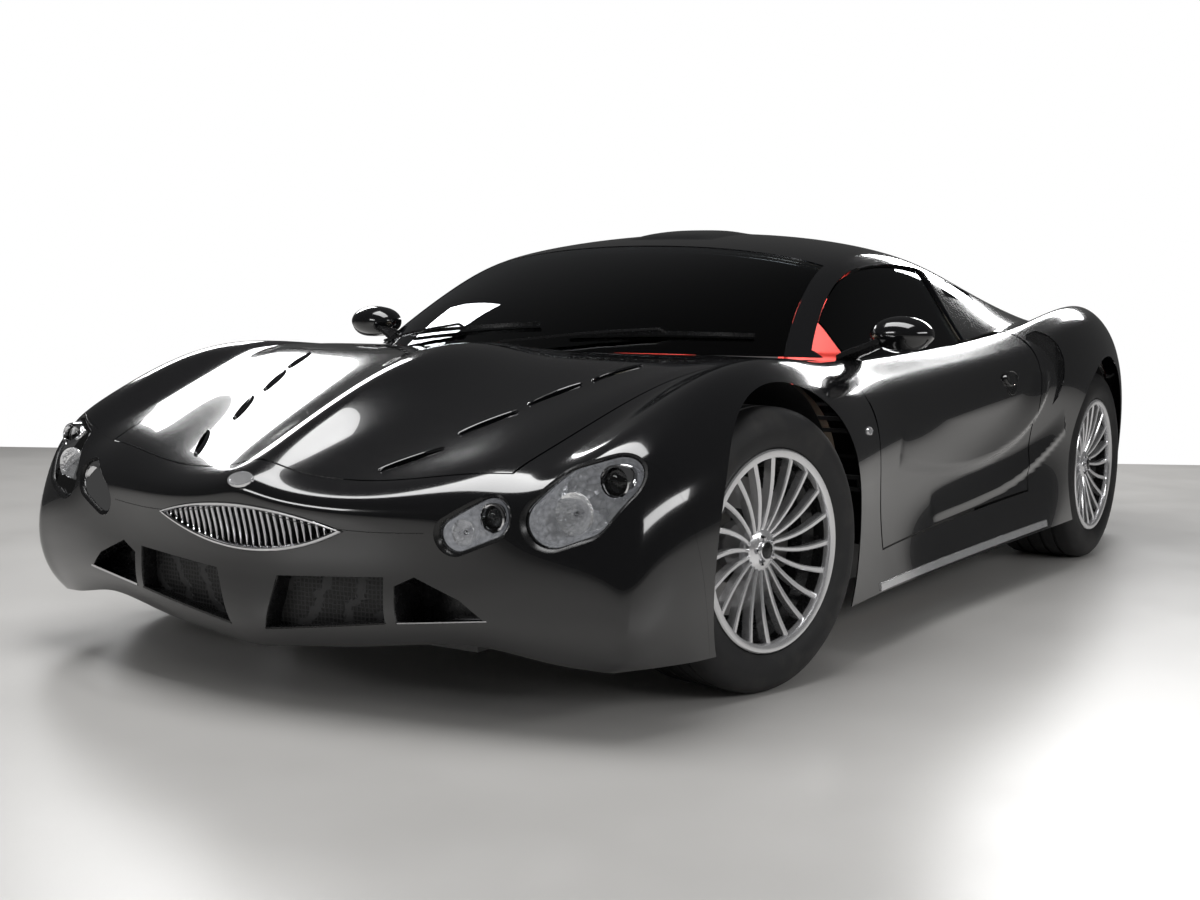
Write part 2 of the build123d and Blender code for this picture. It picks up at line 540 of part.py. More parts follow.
def intake_prism(points, grow=0.0):
    shape = nose_prism(points, NOSE_BACK, NOSE_FAR)
    if grow:
        ys, zs = [p[0] for p in points], [p[1] for p in points]
        shape = box(NOSE_BACK, NOSE_FAR, min(ys) - grow, max(ys) + grow, min(zs) - grow, max(zs) + grow)
    return shape


def front_bumper():
    skin = panel(BODY, 0, BONNET_FRONT, -FOOT, FOOT)
    holes = [grille_prism(0)]
    for circles in (OUTER_LAMP, INNER_LAMP):
        holes += both(lamp_prism(circles, LAMP_SURROUND))
    for points in INTAKES:
        holes += both(intake_prism(points))
    holes.append(panel(BODY, BONNET_FRONT - gap_u(BODY, 5, 1, SHUT), 6.2, -BONNET_EDGE, BONNET_EDGE, -6, 12))
    return skin - holes


def lamp_parts():
    """Lens and bowl of both lamps on the left side."""
    lens_skin = nose_patch(LENS_DEPTH, LENS_DEPTH + LAMP_LENS)
    shell = nose_patch(UNDER_LENS, UNDER_LENS, LAMP_DEEP)
    inside = nose_patch(0, UNDER_LENS, LAMP_DEEP - BOWL_WALL)
    lenses, bowls = [], []
    for circles in (OUTER_LAMP, INNER_LAMP):
        lenses.append(lens_skin & lamp_prism(circles, LAMP_SURROUND - SEAT))
        bowls.append((shell & lamp_prism(circles, LAMP_SURROUND - SEAT)) - (inside & lamp_prism(circles, 0)))
    return lenses, bowls


def grille():
    """Bright almond frame with upright bars set back in it."""
    frame = grille_prism(SEAT) - grille_prism(SEAT + GRILLE_RIM)
    frame = frame & panel(BODY, 1.2, 4.6, -3.6, 3.6, -4, 26)
    pitch = 2 * GRILLE_TIP_Y / (GRILLE_BARS + 3)
    bars = []
    for k in range(GRILLE_BARS):
        y = (k - (GRILLE_BARS - 1) / 2) * pitch
        reach = 1 - (y / GRILLE_TIP_Y) ** 2
        low = GRILLE_TIP_Z + (GRILLE_LOW - GRILLE_TIP_Z) * reach + GRILLE_RIM / 2
        top = GRILLE_TIP_Z + (GRILLE_TOP - GRILLE_TIP_Z) * reach - GRILLE_RIM / 2
        ends = [nose_x(y, z) for z in (low, top)]
        front = [(x - BAR_BACK, z) for x, z in zip(ends, (low, top))]
        back = [(x - BAR_BACK - BAR_DEEP, z) for x, z in zip(ends, (low, top))]
        bars.append(side_prism(front + back[::-1], y - GRILLE_BAR_W / 2, y + GRILLE_BAR_W / 2))
    return frame + bars


def nose_x(y, z):
    """x of the skin at a place on the nose, from the nearest of its sample points."""
    if not NOSE_POINTS:
        NOSE_POINTS.extend(BODY.at(u / 10, v / 8) for u in range(12, 46) for v in range(0, 32))
    return min(NOSE_POINTS, key=lambda p: (p.Y - abs(y)) ** 2 + (p.Z - z) ** 2).X


MESH, MESH_GAP = 3.0, 0.8


def intake_mesh():
    """Dark mesh panels behind the lower openings, left side."""
    behind = panel(BODY, 0, 3, -6, 6, SKIN + MESH_GAP, SKIN + MESH_GAP + MESH)
    ys = [p[0] for points in INTAKES for p in points]
    zs = [p[1] for points in INTAKES for p in points]
    edge = 8
    return behind & box(NOSE_BACK, NOSE_FAR, min(ys) - edge, max(ys) + edge, min(zs) - edge / 2, max(zs) + edge)


# --- bonnet -------------------------------------------------------------------------------------
BONNET_HINGE_X, BONNET_HINGE_Z, BONNET_HINGE_Y = FRONT_AXLE_X - 158.0, 738.0, 480.0
BONNET_ARM_W = 16.0
# Slits: middle x from the axle, y, turned so many degrees.
SLITS = ((617, 328, 34), (412, 389, 26), (230, 452, 22), (60, 520, 20))
SLIT_LONG, SLIT_W = 150.0, 17.0


def bonnet():
    e = gap_v(BODY, 7, BONNET_EDGE, SHUT)
    lid = panel(BODY, BONNET_FRONT, BONNET_REAR, -BONNET_EDGE + e, BONNET_EDGE - e)
    slits = []
    for x, y, turn in SLITS:
        for side in (1, -1):
            slit = Pos(FRONT_AXLE_X + x, side * y, 650) * Rot(0, 0, -side * turn)
            slits.append(slit * extrude(Ellipse(SLIT_LONG / 2, SLIT_W / 2), 150, both=True))
    return lid - slits + [bonnet_arm(side) for side in (1, -1)]


def bonnet_arm(side):
    """Goose-neck from the hinge pin under the scuttle to the underside of the bonnet."""
    hx, hz, w = BONNET_HINGE_X, BONNET_HINGE_Z, BONNET_ARM_W
    y0 = side * BONNET_HINGE_Y - w / 2
    neck = side_prism([
        (hx - 9, hz), (hx - 9, hz - 78), (hx + 150, hz - 78), (hx + 150, hz + 60), (hx + 126, hz + 60),
        (hx + 126, hz - 58), (hx + 9, hz - 58), (hx + 9, hz)], y0, y0 + w)
    eye = tube_y(hx, hz, 13, y0, y0 + w)
    under = panel(BODY, 8.0, BONNET_REAR, -BONNET_EDGE, BONNET_EDGE, SKIN - 0.5, 260)
    return ((neck + eye) & (under + box(hx - 40, hx + 130, y0 - 5, y0 + w + 5, hz - 90, hz + 16))) - tube_y(
        hx, hz, HINGE_PIN_R + RUNNING_FIT, y0 - 1, y0 + w + 1)


def scuttle():
    """Panel between bonnet and windscreen, with the bonnet's hinge pins below it."""
    u0 = BONNET_REAR + gap_u(BODY, BONNET_REAR, 2, SHUT)
    e = gap_v(BODY, 10, BONNET_EDGE, SEAM)
    skin = panel(BODY, u0, 10.9, -BONNET_EDGE + e, BONNET_EDGE - e)
    x = FRONT_AXLE_X
    skin -= plan_prism([
        (x - 150, 0), (x - 160, 150), (x - 255, 360), (x - 500, 620), (x - 700, 640), (x - 700, -640),
        (x - 500, -620), (x - 255, -360), (x - 160, -150)], 600, 1000)
    for side in (1, -1):
        y = side * BONNET_HINGE_Y
        y0, y1 = y - BONNET_ARM_W / 2 - 14, y + BONNET_ARM_W / 2 + 14
        cheek = box(BONNET_HINGE_X - 14, BONNET_HINGE_X + 14, y0, y1, BONNET_HINGE_Z - 14, BONNET_HINGE_Z + 70)
        cheek -= box(BONNET_HINGE_X - 60, BONNET_HINGE_X + 60, y0 + 13, y1 - 13, BONNET_HINGE_Z - 90, 1000)
        cheek = cheek & panel(BODY, 9.0, 10.9, -BONNET_EDGE, BONNET_EDGE, SKIN - 0.5, 150)
        skin += cheek
        skin += tube_y(BONNET_HINGE_X, BONNET_HINGE_Z, HINGE_PIN_R, y0, y1)
    return skin


# --- doors --------------------------------------------------------------------------------------
GLASS_FRONT, GLASS_REAR, GLASS_TOP = 1.45, 4.72, 2.78
WINDOW_GAP_U, WINDOW_GAP_V = 0.03, 0.08
# The door's ends stand back inboard, so that it clears the wings as it swings: offset from the shut line, y.
FRONT_RELIEF = ((60, 966), (-2, 966), (-8, 951), (-8, 500), (60, 500))
REAR_RELIEF = ((-60, 962), (2, 962), (17, 850), (17, 500), (-60, 500))
RELIEF_TOP = 665.0
SILL_GAP, SILL_RISE = 6.3, 0.05
MIRROR_AT = (MID_X + 545.0, 925.0, 838.0)
MIRROR_RINGS = ((-30, 84, 47), (10, 88, 50), (42, 70, 38), (60, 44, 22))    # ahead, half width, half height
MIRROR_STALK_R = 11.0


def door_wall():
    v1 = SILL_LINE - gap_v(BODY, 13, SILL_LINE, SHUT)
    return panel(BODY, 11.2, 15.6, BELT, v1, 0, 0, (0, -DOOR_WALL, -DOOR_DROP))


def under_door():
    """Everything below the door: a plane along its bottom edge that rises a little inboard."""
    front, rear = BODY.at(11.4, SILL_LINE), BODY.at(15.4, SILL_LINE)
    slope = (rear.Z - front.Z) / (front.X - rear.X)
    far = 3000
    return Plane(origin=front + Vector(0, 0, SILL_GAP), z_dir=(slope, SILL_RISE, 1)) * Pos(0, 0, -far / 2) * Box(
        2 * far, 2 * far, far)


def relief(line, plan, z1):
    """Prism up a shut line, its plan given as offsets from the line and y."""
    x0, x1 = on_line(line, LINE_LOW), on_line(line, z1)
    up = Vector(x1 - x0, 0, z1 - LINE_LOW)
    face = make_face(Polyline(*[(x0 + ahead, y, LINE_LOW) for ahead, y in plan], close=True))
    return extrude(face, up.length, dir=tuple(up))


def door():
    wall = door_wall() - [
        beside(DOOR_FRONT, 2000, -SHUT / 2), beside(DOOR_REAR, -2000, SHUT / 2), under_door(),
        relief(DOOR_FRONT, FRONT_RELIEF, RELIEF_TOP), relief(DOOR_REAR, REAR_RELIEF, LINE_TOP)]
    return wall + [door_arm(z) for z in HINGE_Z]


def door_arm(z):
    x, y = HINGE_X, HINGE_Y
    z0, z1 = z - KNUCKLE_TALL / 2, z + KNUCKLE_TALL / 2
    neck = plan_prism([
        (x - 10, y), (x - 10, y - 84), (x - 110, y - 84), (x - 110, y - 104), (x + 10, y - 104), (x + 10, y)], z0, z1)
    return neck + post(x, y, EYE_OUT, z0, z1) - post(x, y, HINGE_PIN_R + RUNNING_FIT, z0 - 1, z1 + 1)


def on_door(shape):
    """The stretch of a shape that stands over the door's top edge."""
    shape -= Pos(0, 0, SEAT) * door_wall()
    return max(solids_of(shape), key=lambda s: s.volume)


def door_glass():
    return on_door(panel(HOUSE, GLASS_FRONT, GLASS_REAR, GLASS_TOP, 5.4, 9, 9 + GLASS))


def door_mirror():
    """Oval mirror housing, narrowing forwards, on a stalk that stands on the door's top edge."""
    x, y, z = MIRROR_AT
    rings = [
        Plane(origin=(x + ahead, y, z), x_dir=(0, 1, 0), z_dir=(1, 0, 0)) * Ellipse(half_wide, half_tall)
        for ahead, half_wide, half_tall in MIRROR_RINGS]
    stalk = rod((x + 10, y - 30, z), (x + 30, 795, 700), MIRROR_STALK_R)
    return on_door(loft(rings) + stalk)


# --- glasshouse ---------------------------------------------------------------------------------
SCREEN_TOP, SCREEN_SIDE = 2.75, 2.1
ROOF_PIECE = (3.05, 4.0, -0.5, 0.5)
ROOF_PIECE_TALL = 13.0
REAR_GLASS = (5.95, 7.35, 1.9)
QUARTER_GLASS = (4.98, 5.9, 2.85, 3.75)


def under_body(clear):
    """Everything just over and under the body skin below the glasshouse, to seat it on."""
    return panel(BODY, 8.8, 18.6, -6.4, 6.4, -clear, 120)


def roof_frame():
    frame = panel(HOUSE, 0, 8, -5, 5, 0, ROOF_WALL)
    u0, u1, v1 = REAR_GLASS
    cuts = [
        panel(HOUSE, 0, SCREEN_TOP, -SCREEN_SIDE, SCREEN_SIDE, -20, 60),
        panel(HOUSE, u0, u1, -v1, v1, -20, 60),
        under_body(SEAM),
    ]
    side_cut = panel(HOUSE, GLASS_FRONT - 0.9, GLASS_REAR + WINDOW_GAP_U, GLASS_TOP - WINDOW_GAP_V, 5, -20, 60)
    u0, u1, v0, v1 = QUARTER_GLASS
    door_space = panel(BODY, 11.0, 15.8, 4.4, 7, -SHUT, 120)
    door_space -= beside(DOOR_FRONT, 2000, 2)
    for cut in (side_cut, panel(HOUSE, u0, u1, v0, v1, -20, 60), door_space):
        cuts += both(cut)
    for cut in cuts:
        frame = max(solids_of(frame - cut), key=lambda s: s.volume)
    return frame + panel(HOUSE, *ROOF_PIECE, -ROOF_PIECE_TALL, ROOF_WALL / 4)


def screens():
    """Windscreen, rear screen and quarter windows, each let into its opening."""
    under = under_body(SEAM)
    e, f = 0.004, 0.003
    front = panel(HOUSE, 0.02, SCREEN_TOP - e, -SCREEN_SIDE + f, SCREEN_SIDE - f, 2, 2 + GLASS) - under
    u0, u1, v1 = REAR_GLASS
    rear = panel(HOUSE, u0 + e, u1 - e, -v1 + f, v1 - f, 2, 2 + GLASS) - under
    u0, u1, v0, v1 = QUARTER_GLASS
    side = panel(HOUSE, u0 + e, u1 - e, v0 + f, v1 - f, 2, 2 + GLASS)
    return front, rear, side


# --- tail ---------------------------------------------------------------------------------------
TAIL_LAMPS = ((500, 612, 44), (612, 622, 36))    # y z r
EXHAUST_Y, EXHAUST_Z, EXHAUST_R = 330.0, 285.0, 46.0
TAIL_FAR = REAR_AXLE_X - 1200.0
TAIL_NEAR = REAR_AXLE_X - 860.0
LID_HINGE_X, LID_HINGE_Z, LID_HINGE_Y = REAR_AXLE_X + 10.0, 838.0, 330.0


def rear_bumper():
    u0 = TAIL_SPLIT + max(gap_u(BODY, TAIL_SPLIT, v, SEAM) for v in range(11))
    skin = panel(BODY, u0, 24, -FOOT, FOOT)
    holes = [panel(BODY, 19.6, LID_REAR + gap_u(BODY, 20.3, 1, SHUT), -LID_EDGE, LID_EDGE, -6, 12)]
    for y, z, r in TAIL_LAMPS:
        holes += both(tube_x(y, z, r + SEAM, TAIL_FAR, TAIL_NEAR))
    holes += both(tube_x(EXHAUST_Y, EXHAUST_Z, EXHAUST_R + SEAT, TAIL_FAR, TAIL_NEAR))
    return skin - holes


def tail_lamps():
    patch = panel(BODY, 20.4, 22.8, 2.6, 8.2, 0.5, 26)
    return [patch & tube_x(y, z, r, TAIL_FAR, TAIL_NEAR) for y, z, r in TAIL_LAMPS]


def exhausts():
    pipe = tube_x(EXHAUST_Y, EXHAUST_Z, EXHAUST_R, REAR_AXLE_X - 1040, REAR_AXLE_X - 850)
    pipe -= tube_x(EXHAUST_Y, EXHAUST_Z, EXHAUST_R - 3, REAR_AXLE_X - 1100, REAR_AXLE_X - 870)
    return pipe


def rear_lid():
    e = gap_v(BODY, 18, LID_EDGE, SHUT)
    u0 = LID_FRONT + gap_u(BODY, LID_FRONT, 1, SHUT)
    return panel(BODY, u0, LID_REAR, -LID_EDGE + e, LID_EDGE - e)


def rear_deck():
    e = gap_v(BODY, 17, LID_EDGE, SEAM)
    return panel(BODY, 16.4, LID_FRONT, -LID_EDGE + e, LID_EDGE - e)


def sill_skirt():
    v0 = SILL_LINE
    skirt = panel(BODY, 11.2, 15.4, v0, FOOT, 0, 0, (0, -2 * DOOR_WALL, -2 * DOOR_DROP))
    skirt -= [
        box(-3000, 3000, 0, SILL_OUT + SEAT, -100, 800), box(-3000, 3000, 0, 1100, -100, GROUND_CLEARANCE),
        arch_cut(FRONT_AXLE_X, FRONT_TYRE_R, ARCH_FRONT_R), beside(DOOR_FRONT, 2000, 0), beside(DOOR_REAR, -2000, 0)]
    return skirt


def rear_lid_hinged():
    """Boot lid with the two goose-neck arms of its hinges."""
    lid = rear_lid()
    return lid + [lid_arm(side) for side in (1, -1)]


def lid_arm(side):
    hx, hz, w = LID_HINGE_X, LID_HINGE_Z, BONNET_ARM_W
    y0 = side * LID_HINGE_Y - w / 2
    neck = side_prism([
        (hx + 9, hz), (hx + 9, hz - 90), (hx - 132, hz - 90), (hx - 132, hz + 60), (hx - 114, hz + 60),
        (hx - 114, hz - 72), (hx - 9, hz - 72), (hx - 9, hz)], y0, y0 + w)
    neck += tube_y(hx, hz, 13, y0, y0 + w)
    under = panel(BODY, 16.6, 18.6, -LID_EDGE, LID_EDGE, SKIN - 0.5, 200)
    return (neck & under) - tube_y(hx, hz, HINGE_PIN_R + RUNNING_FIT, y0 - 1, y0 + w + 1)


def deck_hinges():
    """Cheeks and pins under the rear deck that carry the boot lid."""
    out = []
    for side in (1, -1):
        y = side * LID_HINGE_Y
        y0, y1 = y - BONNET_ARM_W / 2 - 12, y + BONNET_ARM_W / 2 + 12
        cheek = box(LID_HINGE_X - 12, LID_HINGE_X + 60, y0, y1, LID_HINGE_Z - 12, LID_HINGE_Z + 60)
        cheek -= box(LID_HINGE_X - 90, LID_HINGE_X + 16, y0 + 11, y1 - 11, LID_HINGE_Z - 90, LID_HINGE_Z + 90)
        cheek = cheek & panel(BODY, 16.4, 17.2, -LID_EDGE, LID_EDGE, SKIN - 0.5, 120)
        out += [cheek, tube_y(LID_HINGE_X, LID_HINGE_Z, HINGE_PIN_R, y0, y1)]
    return out


# --- cabin --------------------------------------------------------------------------------------
SEAT_Y = 345.0
SEAT_W = 440.0
SEAT_X = MID_X + 60.0
SEAT_BASE_Z = 245.0
STEER_Y = -345.0
WHEEL_AT = (MID_X + 430.0, STEER_Y, 690.0)
WHEEL_R = 175.0
WHEEL_TILT = 24.0
DASH_HALF = 585.0
COLUMN_R, COLUMN_LONG = 26.0, 170.0
ENGINE_LONG, ENGINE_HALF, ENGINE_LOW, ENGINE_TOP = 430.0, 280.0, 190.0, 600.0


def car_seat(side):
    """One bucket seat as a plain solid: plinth, cushion and raked back."""
    y0 = side * SEAT_Y - SEAT_W / 2
    x = SEAT_X
    base = GROUND_CLEARANCE + FLOOR + SEAT
    plinth = side_prism([(x - 190, base), (x + 230, base), (x + 210, SEAT_BASE_Z), (x - 170, SEAT_BASE_Z)],
                        y0 + 60, y0 + SEAT_W - 60)
    cushion = side_prism([
        (x - 230, SEAT_BASE_Z), (x + 270, SEAT_BASE_Z), (x + 300, SEAT_BASE_Z + 60),
        (x + 260, SEAT_BASE_Z + 150), (x - 190, SEAT_BASE_Z + 105)], y0, y0 + SEAT_W)
    back = side_prism([
        (x - 250, SEAT_BASE_Z + 20), (x - 130, SEAT_BASE_Z + 90), (x - 290, SEAT_BASE_Z + 560),
        (x - 320, SEAT_BASE_Z + 720), (x - 390, SEAT_BASE_Z + 730), (x - 400, SEAT_BASE_Z + 560)],
        y0 + 20, y0 + SEAT_W - 20)
    return plinth + cushion + back


def dashboard():
    x0, z0 = CABIN_FRONT - SEAT, FIREWALL_TOP + SEAT
    profile = [
        (x0 - 230, 590), (x0 - 250, 690), (x0 - 190, 748), (x0 - 60, 766), (x0 + 190, 752), (x0 + 190, z0),
        (x0, z0), (x0, 560), (x0 - 120, 560),
    ]
    board = side_prism(profile, -DASH_HALF, DASH_HALF)
    console = side_prism([
        (x0 - 200, TUNNEL_TOP + SEAT), (x0 - 170, 600), (x0 - 60, 600), (x0 - 60, TUNNEL_TOP + SEAT)], -95, 95)
    return board + console - steering_column(COLUMN_R + SEAT, 2 * SEAT)


def on_column(shape):
    return Pos(*WHEEL_AT) * Rot(0, -90 + WHEEL_TILT, 0) * Rot(0, 0, 90) * shape


def steering_column(radius, longer=0.0):
    return on_column(Pos(0, 0, -(COLUMN_LONG + longer) / 2) * Cylinder(radius, COLUMN_LONG + longer))


def steering_wheel():
    """Rim, three spokes, boss and column, driver on the right."""
    ring = Torus(WHEEL_R, 15)
    boss = Cylinder(48, 34)
    spokes = [Rot(0, 0, a) * Pos(WHEEL_R / 2, 0, 0) * Box(WHEEL_R, 26, 10) for a in (0, 180, 270)]
    return on_column(ring + boss + spokes) + steering_column(COLUMN_R)


def engine():
    x0 = CABIN_FRONT + BULKHEAD + 30
    block = box(x0, x0 + ENGINE_LONG, -ENGINE_HALF, ENGINE_HALF, ENGINE_LOW, ENGINE_TOP)
    lugs = [box(x0 + 180, x0 + 240, s0, s1, 250, 300) for s0, s1 in (
        (-RAIL_IN + SEAT, -ENGINE_HALF), (ENGINE_HALF, RAIL_IN - SEAT))]
    return block + lugs


# Wipers, parked: post v; then blade ends and arm tip on the screen, u and v.
WIPERS = ((0.15, (0.3, 0.55), (0.62, 1.75), (0.45, 1.1)), (-1.3, (0.24, -1.0), (0.5, 0.25), (0.36, -0.4)))
WIPER_LIFT, WIPER_ARM_W, BLADE_W = 22.0, 10.0, 9.0


def over_screen(u, v, lift):
    return HOUSE.at(u, v) - HOUSE.inward(u, v) * lift


def chain(points, w):
    """Square bar through points, its pieces lapped at the corners."""
    bars = []
    for a, b in zip(points, points[1:]):
        bars.append(Plane(origin=(a + b) / 2, z_dir=b - a) * Box(w, w, (b - a).length + w))
    return bars[0] + bars[1:]


def wipers():
    """Two wipers parked low on the windscreen, each on its own post."""
    out = []
    for v_post, inner, outer, tip in WIPERS:
        hub = over_screen(0.02, v_post, WIPER_LIFT)
        arm_line = [hub] + [over_screen(tip[0] * t, v_post + (tip[1] - v_post) * t, WIPER_LIFT) for t in (0.5, 1)]
        blade = [over_screen(inner[0] + (outer[0] - inner[0]) * t, inner[1] + (outer[1] - inner[1]) * t,
                             BLADE_W) for t in (0, 0.25, 0.5, 0.75, 1)]
        saddle = chain([arm_line[-1], blade[2]], WIPER_ARM_W - 2)
        out.append(chain(arm_line, WIPER_ARM_W) + chain(blade, BLADE_W) + saddle)
    return out


def light_units():
    """Round lamp units inside the bowls, left side, each standing on its bowl's back."""
    bowl_space = nose_patch(UNDER_LENS, UNDER_LENS, LAMP_DEEP - BOWL_WALL - SEAT)
    units = []
    for y, z, r, back in LIGHT_UNITS:
        front = nose_x(y, z) - back
        units.append(bowl_space & tube_x(y, z, r, front - LAMP_DEEP, front))
    return units


def headlamps():
    lenses, bowls = lamp_parts()
    return lenses, bowls, light_units()


def suspension(axle_x, radius):
    pieces = [arm(axle_x, radius + z) for z in (BALL_UP, -BALL_UP)]
    return [p for piece in pieces for p in both(piece)]


def steered(shape, side):
    """Turns a left-hand upright into its rest angle on either side."""
    place = Pos(FRONT_AXLE_X, side * KINGPIN_Y, FRONT_TYRE_R) * Rot(0, 0, STEER_REST) * Pos(0, -side * KINGPIN_Y, 0)
    return place * (shape if side > 0 else flip(shape))


def build_all():
    for name, x, r, w, out, turned in (
        ("front", FRONT_AXLE_X, FRONT_TYRE_R, FRONT_TYRE_W, FRONT_TRACK_OUT, True),
        ("rear", REAR_AXLE_X, REAR_TYRE_R, REAR_TYRE_W, REAR_TRACK_OUT, False),
    ):
        metal, rubber = rim(w), tyre(r, w)
        for word, side in (("left", 1), ("right", -1)):
            place = wheel_pose(x, r, out, turned, side)
            write(f"rim_{name}_{word}", place * metal)
            write(f"tyre_{name}_{word}", place * rubber)
    upright = knuckle(FRONT_TRACK_OUT)
    write("knuckle_left", steered(upright, 1))
    write("knuckle_right", steered(upright, -1))
    rear_upright = Pos(REAR_AXLE_X, 0, REAR_TYRE_R) * knuckle(REAR_TRACK_OUT)
    write("front_arms", suspension(FRONT_AXLE_X, FRONT_TYRE_R))
    write("rear_suspension", suspension(REAR_AXLE_X, REAR_TYRE_R), both(rear_upright))

    write("chassis", chassis())
    write("engine", engine())
    write("wheel_liners", both(liner(FRONT_AXLE_X, FRONT_TYRE_R, ARCH_FRONT_R)),
          both(liner(REAR_AXLE_X, REAR_TYRE_R, ARCH_REAR_R)))
    sides = {
        "fender": fender() + arch_flange(FRONT_AXLE_X, FRONT_TYRE_R, ARCH_FRONT_R, 5.1, 12.0),
        "quarter": quarter() + arch_flange(REAR_AXLE_X, REAR_TYRE_R, ARCH_REAR_R, 15.2, 19.8),
        "door": door(), "door_glass": door_glass(), "mirror": door_mirror(),
    }
    for name, shape in sides.items():
        write(f"{name}_left", shape)
        write(f"{name}_right", flip(shape))
    write("front_bumper", front_bumper())
    write("rear_bumper", rear_bumper())
    write("sills", both(sill_skirt()))
    write("bonnet", bonnet())
    write("scuttle", scuttle())
    write("boot_lid", rear_lid_hinged())
    write("rear_deck", rear_deck() + deck_hinges())
    write("roof_frame", roof_frame())
    front, rear, side = screens()
    write("windscreen", front)
    write("rear_glass", rear, both(side))

    write("grille", grille())
    write("intake_mesh", both(intake_mesh()))
    lenses, bowls, units = headlamps()
    write("headlamp_lenses", [both(s) for s in lenses])
    write("headlamp_bowls", [both(s) for s in bowls], [both(s) for s in units])
    write("tail_lamps", [both(s) for s in tail_lamps()])
    write("exhausts", both(exhausts()))
    write("wipers", wipers())

    write("seats", car_seat(1), car_seat(-1))
    write("dashboard", dashboard())
    write("steering_wheel", steering_wheel())


if __name__ == "__main__":
    os.makedirs("parts", exist_ok=True)
    build_all()
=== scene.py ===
import json
import math

import bmesh
import bpy
import numpy as np
from mathutils import Matrix, Vector
from mathutils.kdtree import KDTree

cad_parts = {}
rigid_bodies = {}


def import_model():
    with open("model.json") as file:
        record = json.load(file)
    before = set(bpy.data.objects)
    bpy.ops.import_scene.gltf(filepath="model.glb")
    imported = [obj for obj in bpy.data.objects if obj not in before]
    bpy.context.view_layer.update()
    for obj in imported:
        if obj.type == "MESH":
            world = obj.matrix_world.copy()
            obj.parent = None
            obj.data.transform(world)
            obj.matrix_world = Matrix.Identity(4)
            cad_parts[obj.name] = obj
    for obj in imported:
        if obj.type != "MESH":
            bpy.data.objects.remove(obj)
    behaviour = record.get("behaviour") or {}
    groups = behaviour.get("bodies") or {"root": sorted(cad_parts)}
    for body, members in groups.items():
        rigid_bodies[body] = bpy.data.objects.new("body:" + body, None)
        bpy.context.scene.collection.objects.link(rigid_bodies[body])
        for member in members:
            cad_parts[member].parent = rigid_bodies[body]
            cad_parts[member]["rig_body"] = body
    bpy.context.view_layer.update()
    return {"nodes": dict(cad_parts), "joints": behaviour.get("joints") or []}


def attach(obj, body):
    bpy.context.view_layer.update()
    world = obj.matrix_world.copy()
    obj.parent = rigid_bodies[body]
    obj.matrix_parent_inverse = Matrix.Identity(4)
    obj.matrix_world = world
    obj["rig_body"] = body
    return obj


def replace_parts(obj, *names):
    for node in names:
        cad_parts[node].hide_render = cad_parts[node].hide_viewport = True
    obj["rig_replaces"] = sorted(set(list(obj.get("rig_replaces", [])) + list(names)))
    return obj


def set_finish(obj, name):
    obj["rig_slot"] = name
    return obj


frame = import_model()
joints = {j["name"]: j for j in frame["joints"]}
frontX = joints["steer_left"]["pos_m"][0]
rearX = joints["wheel_rear_left_spin"]["pos_m"][0]
midX = (frontX + rearX) / 2
hingeX = joints["door_left_hinge"]["pos_m"][0]
print("frame loaded")

# places shared by the body pieces: gaps in metres, and where the skin is split in rows and columns of the net
shell = {
    "skin": 0.003, "shut": 0.0055, "seam": 0.0006, "roofWall": 0.024,
    "nose": 5.0, "bonnetRear": 9.25, "bonnetEdge": 4.5, "tail": 20.3, "sill": 9.5, "foot": 10.0,
    "deckFront": 16.4, "lidFront": 17.25, "lidEdge": 3.9,
}
shut, seam = shell["shut"], shell["seam"]
sides = (("left", 1), ("right", -1))
doorFront = ((hingeX - 0.064, 0.590), (hingeX - 0.125, 0.238))     # shut lines, x and z
doorRear = ((rearX + 0.700, 0.780), (rearX + 0.780, 0.170))
halfCar = 1.1    # passes either side of the car
wheelRadius = {"front": 0.339, "rear": 0.343}
archRadius = {"front": 0.395, "rear": 0.400}

